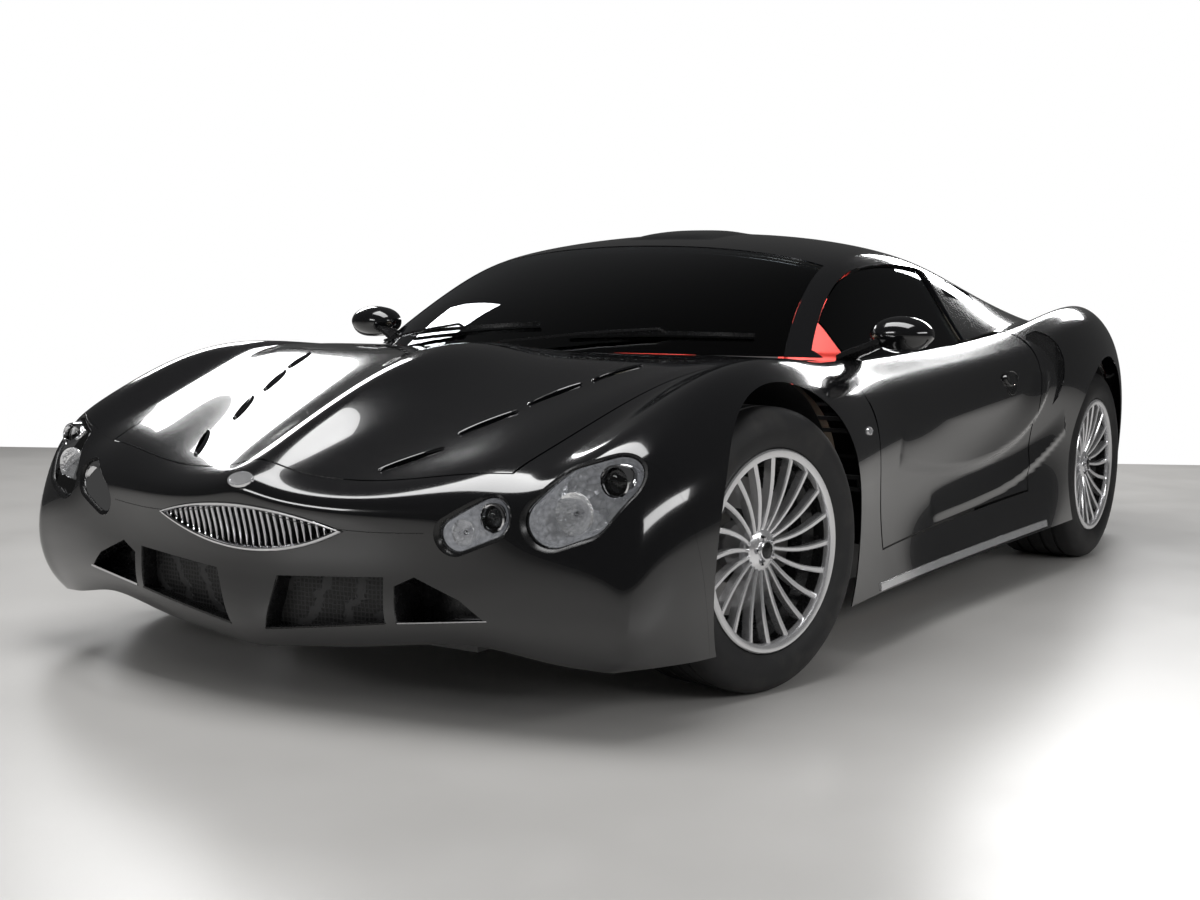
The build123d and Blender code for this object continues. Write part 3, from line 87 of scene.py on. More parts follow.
# one row is one section, nose to tail, in millimetres; the first column is the x that it is measured from
f, m, r = frontX * 1000, midX * 1000, rearX * 1000
bodySections = [
    # x: centre side foot | spine: crown foot | vent y z | ridge y z | valley z | crest y z | shoulder y z |
    # side y z | waist y z | foot y z
    (f, 770, 610, 595, 125, 130, 300, 150, 520, 185, 172, 730, 150, 790, 145, 825, 142, 842, 140, 850, 140),
    (f, 815, 635, 575, 185, 195, 300, 215, 540, 240, 230, 770, 215, 850, 205, 880, 190, 888, 165, 880, 145),
    (f, 795, 650, 525, 335, 335, 290, 330, 550, 345, 350, 790, 350, 872, 335, 915, 285, 920, 200, 905, 145),
    (f, 825, 605, 475, 440, 430, 300, 415, 560, 430, 440, 790, 455, 885, 440, 940, 370, 945, 240, 925, 145),
    (f, 845, 555, 425, 505, 485, 310, 470, 555, 490, 500, 800, 535, 905, 515, 958, 420, 962, 265, 945, 145),
    (f, 760, 485, 370, 548, 520, 325, 510, 552, 560, 540, 812, 615, 915, 580, 972, 465, 975, 285, 955, 145),
    (f, 610, 370, 300, 622, 580, 345, 565, 575, 605, 590, 830, 680, 932, 612, 990, 500, 990, 300, 965, 145),
    (f, 400, 240, 200, 715, 662, 405, 640, 610, 672, 660, 838, 745, 948, 650, 1002, 540, 1000, 320, 975, 145),
    (f, 200, 110, 90, 780, 730, 480, 705, 640, 725, 718, 838, 788, 955, 695, 1008, 572, 1005, 330, 980, 145),
    (f, 0, -30, -30, 812, 780, 550, 760, 690, 768, 755, 838, 808, 956, 720, 1008, 580, 1006, 335, 985, 145),
    (f, -200, -210, -210, 800, 790, 600, 780, 740, 782, 770, 842, 800, 950, 715, 1003, 580, 1000, 340, 982, 150),
    (f, -400, -400, -400, 780, 780, 620, 775, 755, 775, 768, 845, 775, 938, 698, 985, 580, 975, 360, 975, 155),
    (f, -580, -580, -580, 780, 780, 640, 775, 765, 770, 765, 835, 760, 922, 690, 968, 575, 945, 380, 968, 160),
    (m, 300, 300, 300, 780, 780, 660, 778, 780, 778, 775, 832, 770, 910, 705, 955, 590, 905, 400, 968, 165),
    (m, -200, -200, -200, 800, 800, 680, 800, 790, 795, 795, 840, 790, 915, 735, 958, 625, 890, 430, 972, 170),
    (r, 650, 650, 650, 850, 850, 680, 850, 790, 840, 835, 855, 830, 935, 790, 985, 680, 925, 460, 980, 175),
    (r, 350, 350, 350, 900, 895, 600, 880, 740, 865, 868, 860, 910, 962, 850, 1014, 700, 975, 470, 990, 180),
    (r, 0, 0, 0, 890, 885, 560, 865, 700, 855, 870, 845, 965, 965, 875, 1020, 700, 1005, 460, 990, 185),
    (r, -350, -350, -350, 870, 865, 520, 845, 680, 835, 850, 790, 940, 905, 855, 958, 690, 962, 450, 940, 190),
    (r, -700, -690, -660, 845, 840, 480, 820, 620, 810, 815, 700, 880, 800, 800, 865, 645, 875, 430, 850, 195),
    (r, -960, -920, -880, 800, 798, 430, 785, 560, 780, 784, 640, 815, 725, 738, 790, 600, 805, 400, 785, 200),
    (r, -1040, -980, -920, 720, 720, 410, 715, 540, 712, 713, 610, 720, 690, 665, 745, 540, 765, 370, 750, 205),
    (r, -1050, -1000, -940, 560, 560, 410, 560, 540, 560, 560, 600, 560, 675, 530, 730, 450, 750, 330, 740, 205),
    (r, -1030, -985, -940, 380, 380, 410, 380, 530, 380, 380, 590, 380, 660, 370, 710, 330, 735, 270, 730, 210),
    (r, -960, -930, -900, 230, 230, 410, 225, 530, 220, 220, 590, 215, 650, 212, 700, 210, 720, 210, 725, 210),
]
# one row is one section of the glasshouse, x from the middle
# centre: x z | mid x y z | corner x y z | rail x y z | side x y z | belt x y z
houseSections = [
    (1245, 785, 1135, 380, 785, 780, 735, 752, 750, 765, 748, 745, 780, 745, 740, 795, 740),
    (980, 915, 910, 380, 900, 675, 690, 850, 645, 725, 815, 635, 745, 785, 630, 785, 755),
    (630, 1035, 590, 360, 1022, 500, 640, 965, 475, 680, 930, 455, 720, 865, 440, 790, 765),
    (270, 1118, 270, 330, 1105, 300, 605, 1062, 270, 655, 1015, 250, 705, 920, 240, 795, 772),
    (-80, 1160, -80, 320, 1145, -40, 600, 1092, -50, 655, 1042, -60, 705, 935, -80, 800, 785),
    (-420, 1140, -410, 320, 1125, -380, 600, 1072, -380, 660, 1020, -390, 715, 930, -390, 805, 800),
    (-740, 1070, -720, 320, 1055, -680, 640, 985, -680, 690, 955, -680, 730, 905, -680, 795, 835),
    (-1030, 975, -1000, 330, 965, -950, 665, 920, -940, 710, 905, -940, 735, 880, -940, 775, 858),
    (-1350, 895, -1350, 320, 888, -1300, 640, 878, -1300, 670, 872, -1300, 690, 866, -1300, 715, 860),
]


def circling(count):
    return [2 * math.pi * k / count for k in range(count)]


def between(a, b, t):
    return tuple(p + (q - p) * t for p, q in zip(a, b))


def bodyRow(row):
    ref, xc, xs, xf, zs, zsf, yv, zv, yr, zr, zy, yc, zc, ysh, zsh, yd, zd, yw, zw, yf, zf = row
    across = [(0, zs), (0.16 * yv, 0.55 * zs + 0.45 * zsf), (0.42 * yv, 0.6 * zsf + 0.4 * zv), (yv, zv),
              (yr, zr), ((yr + yc) / 2, zy), (yc, zc), (ysh, zsh), (yd, zd)]
    bowed = [(ref + xc + (xs - xc) * (y / yd) ** 1.9, y, z) for y, z in across]
    return bowed + [(ref + (xs + xf) / 2, yw, zw), (ref + xf, yf, zf)]


def houseRow(row):
    points = [(row[0], 0, row[1])] + [row[k:k + 3] for k in range(2, 17, 3)]
    points.append(tuple(2 * belt - side for belt, side in zip(points[-1], points[-2])))
    return [(midX * 1000 + x, y, z) for x, y, z in points]


class Net:
    # a smooth skin over rows of net points; u runs aft, v outboard, and v < 0 is the right-hand side
    def __init__(self, rows):
        p = np.array(rows, float) / 1000
        mirrored = p[:, 1:2] * [1, -1, 1]
        p = np.concatenate([mirrored, p, 2 * p[:, -1:] - p[:, -2:-1]], axis=1)
        self.p = np.concatenate([2 * p[:1] - p[1:2], p, 2 * p[-1:] - p[-2:-1]], axis=0)
        self.uEnd, self.vEnd = self.p.shape[0] - 3, self.p.shape[1] - 3

    def at(self, u, v):
        u, v = np.clip(np.asarray(u, float), 0, self.uEnd), np.asarray(v, float)
        side, v = np.where(v < 0, -1.0, 1.0), np.clip(np.abs(v), 0, self.vEnd)
        i, j = np.minimum(u.astype(int), self.uEnd - 1), np.minimum(v.astype(int), self.vEnd - 1)
        wu, wv = self.weights(u - i), self.weights(v - j)
        out = sum(wu[a][..., None] * wv[b][..., None] * self.p[i + a, j + b] for a in range(4)
                  for b in range(4))
        out[..., 1] *= side
        return out

    def weights(self, t):
        return ((1 - t) ** 3 / 6, (3 * t ** 3 - 6 * t ** 2 + 4) / 6, (-3 * t ** 3 + 3 * t ** 2 + 3 * t + 1) / 6,
                t ** 3 / 6)

    def outward(self, u, v):
        u, v, step = np.asarray(u, float), np.asarray(v, float), 0.02
        along = self.at(np.minimum(u + step, self.uEnd), v) - self.at(np.maximum(u - step, 0), v)
        over = self.at(u, np.minimum(v + step, self.vEnd)) - self.at(u, np.maximum(v - step, -self.vEnd))
        n = np.cross(over, along)
        return n / np.linalg.norm(n, axis=-1, keepdims=True)

    def gapU(self, u, v, gap):
        return gap * 0.02 / np.linalg.norm(self.at(u + 0.01, v) - self.at(u - 0.01, v))

    def gapV(self, u, v, gap):
        return gap * 0.02 / np.linalg.norm(self.at(u, v + 0.01) - self.at(u, v - 0.01))


class Creased(Net):
    # a net raised by creases drawn on its side as lines of x and z
    def __init__(self, base, creases):
        self.base, self.creases, self.uEnd, self.vEnd = base, creases, base.uEnd, base.vEnd

    def at(self, u, v):
        p = self.base.at(u, v)
        return p + self.base.outward(u, v) * sum(self.raised(p, **crease) for crease in self.creases)[..., None]

    def raised(self, p, line, tall, facet, fade):
        # steep above the line, easing off below it, and dying away at both ends
        line = np.array(line)
        ends, best = np.full(p.shape[:-1], np.inf), np.zeros(p.shape[:-1])
        total, side = len(line) - 1, np.zeros(p.shape[:-1])
        for k in range(total):
            a, d = line[k], line[k + 1] - line[k]
            off = p[..., [0, 2]] - a
            t = np.clip((off * d).sum(-1) / (d * d).sum(), 0, 1)
            gap = np.linalg.norm(off - t[..., None] * d, axis=-1)
            nearer = gap < ends
            ends = np.where(nearer, gap, ends)
            best = np.where(nearer, (k + t) / total, best)
            side = np.where(nearer, np.sign(d[0] * off[..., 1] - d[1] * off[..., 0]), side)
        rising = np.clip(ends * side / facet, 0, 1)
        falling = np.clip(ends * side / fade, 0, 1)
        taper = np.sin(np.pi * np.clip(best, 0, 1)) ** 0.6
        shape = (3 * rising ** 2 - 2 * rising ** 3) * (1 - (3 * falling ** 2 - 2 * falling ** 3))
        return tall * taper * shape * (np.abs(p[..., 1]) > 0.75)


body = Net([bodyRow(row) for row in bodySections])
house = Net([houseRow(row) for row in houseSections])


def eased(points):
    # a polyline with its corners cut three times, ends kept
    for _ in range(3):
        cut = [points[0]]
        for a, b in zip(points, points[1:]):
            cut += [tuple(near * p + (1 - near) * q for p, q in zip(a, b)) for near in (0.75, 0.25)]
        points = cut + [points[-1]]
    return points


flank = Creased(body, [
    {"line": eased([(-0.560, 0.705), (-0.556, 0.640), (-0.520, 0.575), (-0.430, 0.508), (-0.315, 0.462),
                    (-0.100, 0.420), (0.150, 0.412), (0.420, 0.432), (0.700, 0.470)]), "tall": 0.013,
     "facet": 0.034, "fade": 0.160},
    {"line": eased([(-0.760, 0.480), (-0.640, 0.425), (-0.480, 0.372), (-0.280, 0.330), (0.0, 0.305),
                    (0.4, 0.290)]),
     "tall": 0.010, "facet": 0.030, "fade": 0.110},
])


class Sock:
    # a node's socket, so that shader maths reads as maths
    def __init__(self, shade, out):
        self.shade, self.out = shade, out

    def maths(self, operation, first, second):
        return self.shade.add("ShaderNodeMath", {"operation": operation}, first, second)

    def __add__(self, other):
        return self.maths("ADD", self, other)

    def __mul__(self, other):
        return self.maths("MULTIPLY", self, other)

    def __rsub__(self, other):
        return self.maths("SUBTRACT", other, self)

    def above(self, edge, soft):
        return self.shade.add("ShaderNodeMapRange", {"interpolation_type": "SMOOTHSTEP"}, self, edge,
                              edge + soft)


class Shade:
    # one material and its nodes
    def __init__(self, name):
        self.material = bpy.data.materials.new(name)
        self.material.use_nodes = True
        self.tree = self.material.node_tree
        self.tree.nodes.clear()
        self.end = self.tree.nodes.new("ShaderNodeOutputMaterial")

    def node(self, kind, settings=None, *values, **named):
        made = self.tree.nodes.new(kind)
        for key, value in (settings or {}).items():
            setattr(made, key, value)
        for key, value in [*enumerate(values), *named.items()]:
            socket = made.inputs[key.replace("_", " ") if isinstance(key, str) else key]
            if isinstance(value, Sock):
                self.tree.links.new(value.out, socket)
            elif value is not None:
                socket.default_value = value
        return made

    def add(self, kind, settings=None, *values, **named):
        out = self.node(kind, settings, *values, **named).outputs
        return Sock(self, next(o for o in out if o.enabled))

    def place(self):
        return Sock(self, self.node("ShaderNodeTexCoord").outputs["Object"])

    def noise(self, scale, detail=4.0):
        return self.add("ShaderNodeTexNoise", None, Vector=self.place(), Scale=scale, Detail=detail,
                        Roughness=0.5)

    def cells(self, scale, feature="F1", **named):
        return self.add("ShaderNodeTexVoronoi", {"feature": feature}, Vector=self.place(), Scale=scale, **named)

    def mix(self, share, first, second):
        # a Mix node's colours are its inputs 6 and 7
        made = self.node("ShaderNodeMix", {"data_type": "RGBA"})
        for key, value in ((0, share), (6, first), (7, second)):
            if isinstance(value, Sock):
                self.tree.links.new(value.out, made.inputs[key])
            else:
                made.inputs[key].default_value = value if key == 0 else (*value, 1)
        return Sock(self, made.outputs[2])

    def bump(self, height, depth, strength=1.0):
        return self.add("ShaderNodeBump", None, Strength=strength, Distance=depth, Height=height)

    def surface(self, **named):
        shader = self.add("ShaderNodeBsdfPrincipled", None, **named)
        self.tree.links.new(shader.out, self.end.inputs["Surface"])
        return self.material

    def glazing(self, tint, gloss, bend):
        # a clear pane: tinted see-through, with a mirror that grows towards the rim
        clear = self.add("ShaderNodeBsdfTransparent", None, (*tint, 1))
        mirror = self.add("ShaderNodeBsdfGlossy", None, (*gloss, 1), 0.0)
        edge = self.add("ShaderNodeFresnel", None, bend)
        blend = self.node("ShaderNodeMixShader", None, edge, clear, mirror)
        self.tree.links.new(blend.outputs[0], self.end.inputs["Surface"])
        return self.material


def paintBlack():
    s = Shade("paintBlack")
    flake, ripple = s.noise(2600, 1), s.noise(34, 2)
    peel = s.noise(420, 2)
    return s.surface(
        Base_Color=s.mix(flake, (0.0030, 0.0030, 0.0036), (0.0065, 0.0066, 0.0075)),
        Roughness=ripple * 0.05 + 0.10, Normal=s.bump(peel, 0.00003, 0.6), Coat_Weight=1.0,
        Coat_Roughness=0.015, IOR=1.5)


def mottled(name, first, second, tint, rough, relief, metal=0.0):
    # colour, roughness and bump each follow a noise: its scale and detail, then how strong it is
    s = Shade(name)
    return s.surface(Base_Color=s.mix(s.noise(*tint), first, second), Metallic=metal,
                     Roughness=s.noise(*rough[:2]) * rough[2] + rough[3],
                     Normal=s.bump(s.noise(*relief[:2]), *relief[2:]))


def rubberBlack():
    s = Shade("rubberBlack")
    dust, grain = s.noise(16, 5), s.noise(900, 3)
    return s.surface(Base_Color=s.mix(dust.above(0.45, 0.3), (0.010, 0.010, 0.011), (0.022, 0.021, 0.020)),
                     Roughness=grain * 0.15 + 0.55, Normal=s.bump(grain, 0.0003, 0.5))


def leather(name, dark, light):
    s = Shade(name)
    cells = s.cells(260.0, "DISTANCE_TO_EDGE")
    wear = s.noise(6, 4)
    return s.surface(Base_Color=s.mix(wear, dark, light), Roughness=wear * 0.15 + 0.42,
                     Normal=s.bump(cells.above(0.0, 0.25), 0.0004, 0.5))


def lampRed():
    s = Shade("lampRed")
    rings = s.add("ShaderNodeTexWave", {"wave_type": "RINGS", "rings_direction": "X"}, Vector=s.place(),
                  Scale=40.0)
    return s.surface(Base_Color=s.mix(rings, (0.30, 0.004, 0.004), (0.55, 0.015, 0.012)), Roughness=0.08,
                     Normal=s.bump(rings, 0.0006, 0.5), Coat_Weight=1.0)


paint, rubber, redLens = paintBlack(), rubberBlack(), lampRed()
chrome = mottled("chromeBright", (0.86, 0.86, 0.87), (0.78, 0.78, 0.80), tint=(22, 4),
                 rough=(22, 4, 0.06, 0.04), relief=(160, 2, 0.00005, 0.4), metal=1.0)
rimFinish = mottled("rimMetal", (0.94, 0.94, 0.95), (0.84, 0.84, 0.86), tint=(9, 4),
                    rough=(9, 4, 0.10, 0.13), relief=(380, 2, 0.00004, 0.5), metal=0.75)
plastic = mottled("plasticBlack", (0.012, 0.012, 0.012), (0.020, 0.020, 0.021), tint=(12, 4),
                  rough=(25, 4, 0.15, 0.5), relief=(1400, 3, 0.0003, 0.5))
satin = mottled("satinBlack", (0.006, 0.006, 0.006), (0.012, 0.012, 0.013), tint=(30, 4),
                rough=(60, 4, 0.1, 0.22), relief=(700, 4, 0.0001, 0.4))
underside = mottled("underMetal", (0.05, 0.05, 0.052), (0.13, 0.13, 0.13), tint=(7, 6),
                    rough=(300, 3, 0.25, 0.45), relief=(300, 3, 0.0004, 0.6), metal=0.4)
iron = mottled("castIron", (0.10, 0.10, 0.10), (0.20, 0.19, 0.18), tint=(20, 4),
               rough=(260, 4, 0.25, 0.40), relief=(260, 4, 0.0006, 0.6), metal=0.7)
pipe = mottled("steelPipe", (0.62, 0.60, 0.57), (0.45, 0.42, 0.40), tint=(12, 3),
               rough=(12, 3, 0.15, 0.16), relief=(400, 4, 0.0001, 0.5), metal=1.0)
discSteel = mottled("discIron", (0.30, 0.30, 0.30), (0.42, 0.41, 0.40), tint=(300, 2),
                    rough=(300, 2, 0.15, 0.28), relief=(300, 2, 0.0001, 0.5), metal=1.0)
redLeather = leather("redLeather", (0.28, 0.018, 0.014), (0.40, 0.035, 0.026))
beigeLeather = leather("beigeLeather", (0.30, 0.25, 0.19), (0.42, 0.36, 0.28))
darkLeather = leather("darkLeather", (0.016, 0.015, 0.015), (0.035, 0.033, 0.032))
tinted = Shade("glassTinted").glazing((0.86, 0.89, 0.88), (0.95, 0.97, 1.0), 1.45)
smoked = Shade("glassDark").glazing((0.45, 0.48, 0.48), (0.95, 0.97, 1.0), 1.45)
clear = Shade("glassClear").glazing((0.97, 0.975, 0.98), (1.0, 1.0, 1.0), 1.40)
print("materials made")


def placed(name, data):
    # a new object in the scene
    item = bpy.data.objects.new(name, data)
    bpy.context.scene.collection.objects.link(item)
    return item


def readAll(items, key, kind=float, width=3):
    # one value or vector of every item, as rows
    flat = np.empty(len(items) * width, kind)
    items.foreach_get(key, flat)
    return flat.reshape(-1, width) if width > 1 else flat


def finished(name, bm, material, rides, slot=None, smooth=40, hides=()):
    # turns a bmesh into a piece that rides on a body, and hides the nodes that it stands for
    mesh = bpy.data.meshes.new(name)
    bm.to_mesh(mesh)
    bm.free()
    return finishMesh(name, mesh, material, rides, slot, smooth, hides)


def finishMesh(name, mesh, material, rides, slot=None, smooth=40, hides=()):
    piece = placed(name, mesh)
    for item in material if isinstance(material, (list, tuple)) else [material]:
        mesh.materials.append(item)
    if smooth is not None:
        mesh.shade_smooth()
        mesh.set_sharp_from_angle(angle=math.radians(smooth))
    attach(piece, rides)
    if slot:
        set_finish(piece, slot)
    if hides:
        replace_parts(piece, *hides)
    return piece


def outwardFaces(bm):
    # a wide thin shell can come out inside out, and then nothing cuts it
    bmesh.ops.recalc_face_normals(bm, faces=bm.faces[:])
    if bm.calc_volume(signed=True) < 0:
        bmesh.ops.reverse_faces(bm, faces=bm.faces[:])
    return bm


def gridCounts(uEnds, vEnds, pitch):
    # how many cells a patch has each way
    return [max(2, math.ceil(abs(b - a) / p)) for (a, b), p in zip((uEnds, vEnds), pitch)]


def skinPatch(net, uEnds, vEnds, depths, pitch=(0.1, 0.1)):
    # closed thin solid between two depths under a patch of a net
    bm = bmesh.new()
    across = gridCounts(uEnds, vEnds, pitch)
    bmesh.ops.create_grid(bm, x_segments=across[0], y_segments=across[1], size=0.5)
    outer = bm.verts[:]
    made = bmesh.ops.extrude_face_region(bm, geom=bm.faces[:], use_keep_orig=True)["geom"]
    inner = [g for g in made if isinstance(g, bmesh.types.BMVert)]
    for verts, depth in ((outer, depths[0]), (inner, depths[1])):
        u = np.array([uEnds[0] + (v.co.x + 0.5) * (uEnds[1] - uEnds[0]) for v in verts])
        w = np.array([vEnds[0] + (v.co.y + 0.5) * (vEnds[1] - vEnds[0]) for v in verts])
        places = net.at(u, w) - net.outward(u, w) * depth
        for vert, place in zip(verts, places):
            vert.co = place
    return outwardFaces(bm)


def prism(outline, axis, low, high):
    # closed prism: outline in the two other axes, in X, Y, Z order
    bm = bmesh.new()
    verts = []
    for a, b in outline:
        co = [a, b]
        co.insert(axis, low)
        verts.append(bm.verts.new(co))
    face = bm.faces.new(verts)
    top = bmesh.ops.extrude_face_region(bm, geom=[face], use_keep_orig=True)["geom"]
    move = [0, 0, 0]
    move[axis] = high - low
    bmesh.ops.translate(bm, verts=[g for g in top if isinstance(g, bmesh.types.BMVert)], vec=move)
    bmesh.ops.recalc_face_normals(bm, faces=bm.faces[:])
    return bm


def drum(axis, centre, radius, low, high, turns=96):
    # closed cylinder along an axis
    outline = [(centre[0] + radius * math.cos(a), centre[1] + radius * math.sin(a)) for a in circling(turns)]
    return prism(outline, axis, low, high)


def asMesh(holder):
    return bpy.data.meshes.new_from_object(holder.evaluated_get(bpy.context.evaluated_depsgraph_get()))


def carved(bm, cutters):
    # the solid less each cutter
    mesh = bpy.data.meshes.new("blank")
    bm.to_mesh(mesh)
    bm.free()
    piece = placed("blank", mesh)
    tools = []
    for cutter in cutters:
        tool = bpy.data.meshes.new("cutter")
        cutter.to_mesh(tool)
        cutter.free()
        tools.append(placed("cutter", tool))
        step = piece.modifiers.new("cut", "BOOLEAN")
        step.operation, step.solver, step.object = "DIFFERENCE", "MANIFOLD", tools[-1]
    bpy.context.view_layer.update()
    result = asMesh(piece)
    result.materials.clear()
    for item in [piece, *tools]:
        data = item.data
        bpy.data.objects.remove(item)
        bpy.data.meshes.remove(data)
    return result


def smoothed(mesh, net, uEnds, vEnds, depth, pitch):
    # gives the faces that lie along a net its own normals, so that cuts don't dent the gloss
    nu, nv = gridCounts(uEnds, vEnds, pitch)
    u, v = np.meshgrid(np.linspace(*uEnds, nu + 1), np.linspace(*vEnds, nv + 1), indexing="ij")
    normals = net.outward(u, v).reshape(-1, 3)
    places = net.at(u, v).reshape(-1, 3) - normals * depth
    tree = KDTree(len(places))
    for k, place in enumerate(places):
        tree.insert(place, k)
    tree.balance()
    vertexNormals = np.zeros((len(mesh.vertices), 3))
    for k, place in enumerate(readAll(mesh.vertices, "co")):
        found = tree.find_n(place, 4)
        weights = np.array([1 / (d * d + 1e-10) for _, _, d in found])
        vertexNormals[k] = (normals[[i for _, i, _ in found]] * weights[:, None]).sum(0)
    vertexNormals /= np.linalg.norm(vertexNormals, axis=1, keepdims=True)
    mesh.shade_smooth()
    totals = readAll(mesh.polygons, "loop_total", int, 1)
    perLoop = np.repeat(readAll(mesh.polygons, "normal"), totals, axis=0)
    wanted = vertexNormals[readAll(mesh.loops, "vertex_index", int, 1)]
    along = (perLoop * wanted).sum(1)
    lies = 0.6    # how closely a face has to follow the net to take its normals
    final = np.where(along[:, None] > lies, wanted, np.where(along[:, None] < -lies, -wanted, perLoop))
    mesh.normals_split_custom_set(final.tolist())
    return mesh


def panel(name, net, uEnds, vEnds, depths=(0.0, shell["skin"]), cutters=(), material=None, rides="body",
          slot="gloss_paint", hides=(), pitch=(0.1, 0.1)):
    mesh = carved(skinPatch(net, uEnds, vEnds, depths, pitch), cutters)
    smoothed(mesh, net, uEnds, vEnds, depths[0], pitch)
    return finishMesh(name, mesh, material or paint, rides, slot, None, hides)


def onLine(line, z):
    # the x of a shut line at a height
    (xa, za), (xb, zb) = line
    return xa + (z - za) * (xb - xa) / (zb - za)


def beside(line, far, gap):
    # prism across the car from a shut line to far
    return prism([(onLine(line, 1.0) + gap, 1.0), (far, 1.0), (far, 0.0), (onLine(line, 0.0) + gap, 0.0)],
                 1, -halfCar, halfCar)


def mirrorMesh(piece):
    # the right-hand twin of a left-hand piece: its name, its body and the nodes it hides say right for left
    mesh = piece.data.copy()
    normals = readAll(mesh.corner_normals, "vector") * [1, -1, 1]
    mesh.transform(Matrix.Scale(-1, 4, (0, 1, 0)))
    mesh.flip_normals()
    twin = placed(piece.name.replace("left", "right"), mesh)
    # flipping turns each face's corners round, so its normals are turned round with them
    turned = np.zeros_like(normals)
    for face in mesh.polygons:
        start, total = face.loop_start, face.loop_total
        order = [start] + list(range(start + total - 1, start, -1))
        turned[start:start + total] = normals[order]
    mesh.normals_split_custom_set(turned.tolist())
    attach(twin, piece["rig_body"].replace("left", "right"))
    if piece.get("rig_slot"):
        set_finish(twin, piece["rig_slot"])
    hidden = [node.replace("left", "right") for node in piece.get("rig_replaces", ()) if "left" in node]
    if hidden:
        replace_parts(twin, *hidden)


def cut(bm, *cutters):
    # the solid less the cutters, as a bmesh for more cutting
    mesh = carved(bm, cutters)
    out = bmesh.new()
    out.from_mesh(mesh)
    bpy.data.meshes.remove(mesh)
    return out


def loft(rings, ends=True):
    # closed skin through rings of places with equal counts
    count, rows = len(rings[0]), len(rings)
    bm = bmesh.new()
    bmesh.ops.create_grid(bm, x_segments=count, y_segments=rows - 1, size=0.5)
    for v in bm.verts:
        i, j = round((v.co.x + 0.5) * count) % count, round((v.co.y + 0.5) * (rows - 1))
        v.co = rings[j][i]
    bmesh.ops.remove_doubles(bm, verts=bm.verts[:], dist=1e-7)
    if ends:
        bmesh.ops.holes_fill(bm, edges=[e for e in bm.edges if e.is_boundary], sides=0)
    bmesh.ops.recalc_face_normals(bm, faces=bm.faces[:])
    return bm


def spun(profile, steps=96):
    # closed ring or solid turned about Y from a profile of radius, y; ends on the axis close it
    bm = bmesh.new()
    verts = [bm.verts.new((radius, y, 0)) for radius, y in profile]
    edges = [bm.edges.new(pair) for pair in zip(verts, verts[1:])]
    if profile[0][0] > 1e-6 and profile[-1][0] > 1e-6:
        edges.append(bm.edges.new((verts[-1], verts[0])))
    bmesh.ops.spin(bm, geom=verts + edges, cent=(0, 0, 0), axis=(0, 1, 0), angle=2 * math.pi, steps=steps,
                   use_merge=True)
    bmesh.ops.remove_doubles(bm, verts=bm.verts[:], dist=1e-6)
    bmesh.ops.recalc_face_normals(bm, faces=bm.faces[:])
    return bm


def join(target, source, matrix=None):
    # adds one bmesh to another
    mesh = bpy.data.meshes.new("join")
    source.to_mesh(mesh)
    source.free()
    if matrix is not None:
        mesh.transform(matrix)
    target.from_mesh(mesh)
    bpy.data.meshes.remove(mesh)
    return target


def sweep(path, section, closed=False):
    # section points run along a path of places; section is (sideways, up) pairs
    rings = []
    n = len(path)
    for k, place in enumerate(path):
        a = path[(k - 1) % n if closed else max(k - 1, 0)]
        b = path[(k + 1) % n if closed else min(k + 1, n - 1)]
        along = (Vector(b) - Vector(a)).normalized()
        over = along.cross(Vector((0, 0, 1))).normalized()
        rise = over.cross(along).normalized()
        rings.append([Vector(place) + over * s + rise * t for s, t in section])
    if closed:
        rings.append(rings[0])
    return loft(rings, ends=not closed)


def roundSection(radius, turns=12):
    return [(radius * math.cos(a), radius * math.sin(a)) for a in circling(turns)]


class Finder:
    # finds where a line along one axis meets a net, closing in from the nearest sample
    def __init__(self, net, axis, uEnds, vEnds, count=120):
        self.net, self.axes = net, [k for k in range(3) if k != axis]
        u, v = np.meshgrid(np.linspace(*uEnds, count), np.linspace(*vEnds, count), indexing="ij")
        self.u, self.v = u.ravel(), v.ravel()
        places = net.at(self.u, self.v)[:, self.axes]
        self.tree = KDTree(len(places))
        for k, (a, b) in enumerate(places):
            self.tree.insert((a, b, 0), k)
        self.tree.balance()

    def meet(self, first, second):
        _, k, _ = self.tree.find((first, second, 0))
        u, v, e = self.u[k], self.v[k], 1e-3
        for _ in range(4):
            p = self.net.at(u, v)[self.axes]
            a, b = (self.net.at(u + e, v)[self.axes] - p) / e, (self.net.at(u, v + e)[self.axes] - p) / e
            det = a[0] * b[1] - a[1] * b[0]
            if abs(det) < 1e-9:
                break
            d = np.array((first, second)) - p
            u += np.clip((d[0] * b[1] - d[1] * b[0]) / det, -0.3, 0.3)
            v = abs(v + np.clip((d[1] * a[0] - d[0] * a[1]) / det, -0.3, 0.3))
        return u, v


noseFinder = Finder(body, 0, (0.2, 6.2), (0, 8.6), 150)
sideFinder = Finder(flank, 1, (10.6, 17.0), (5.2, 9.9))


def noseX(y, z):
    return float(body.at(*noseFinder.meet(abs(y), z))[0])


def onFlank(outline, depth):
    # places on the left flank under x, z points
    found = [sideFinder.meet(x, z) for x, z in outline]
    return [Vector(flank.at(u, v) - flank.outward(u, v) * depth) for u, v in found]


def onNose(outline, depth):
    return [Vector((noseX(y, z) - depth, y, z)) for y, z in outline]


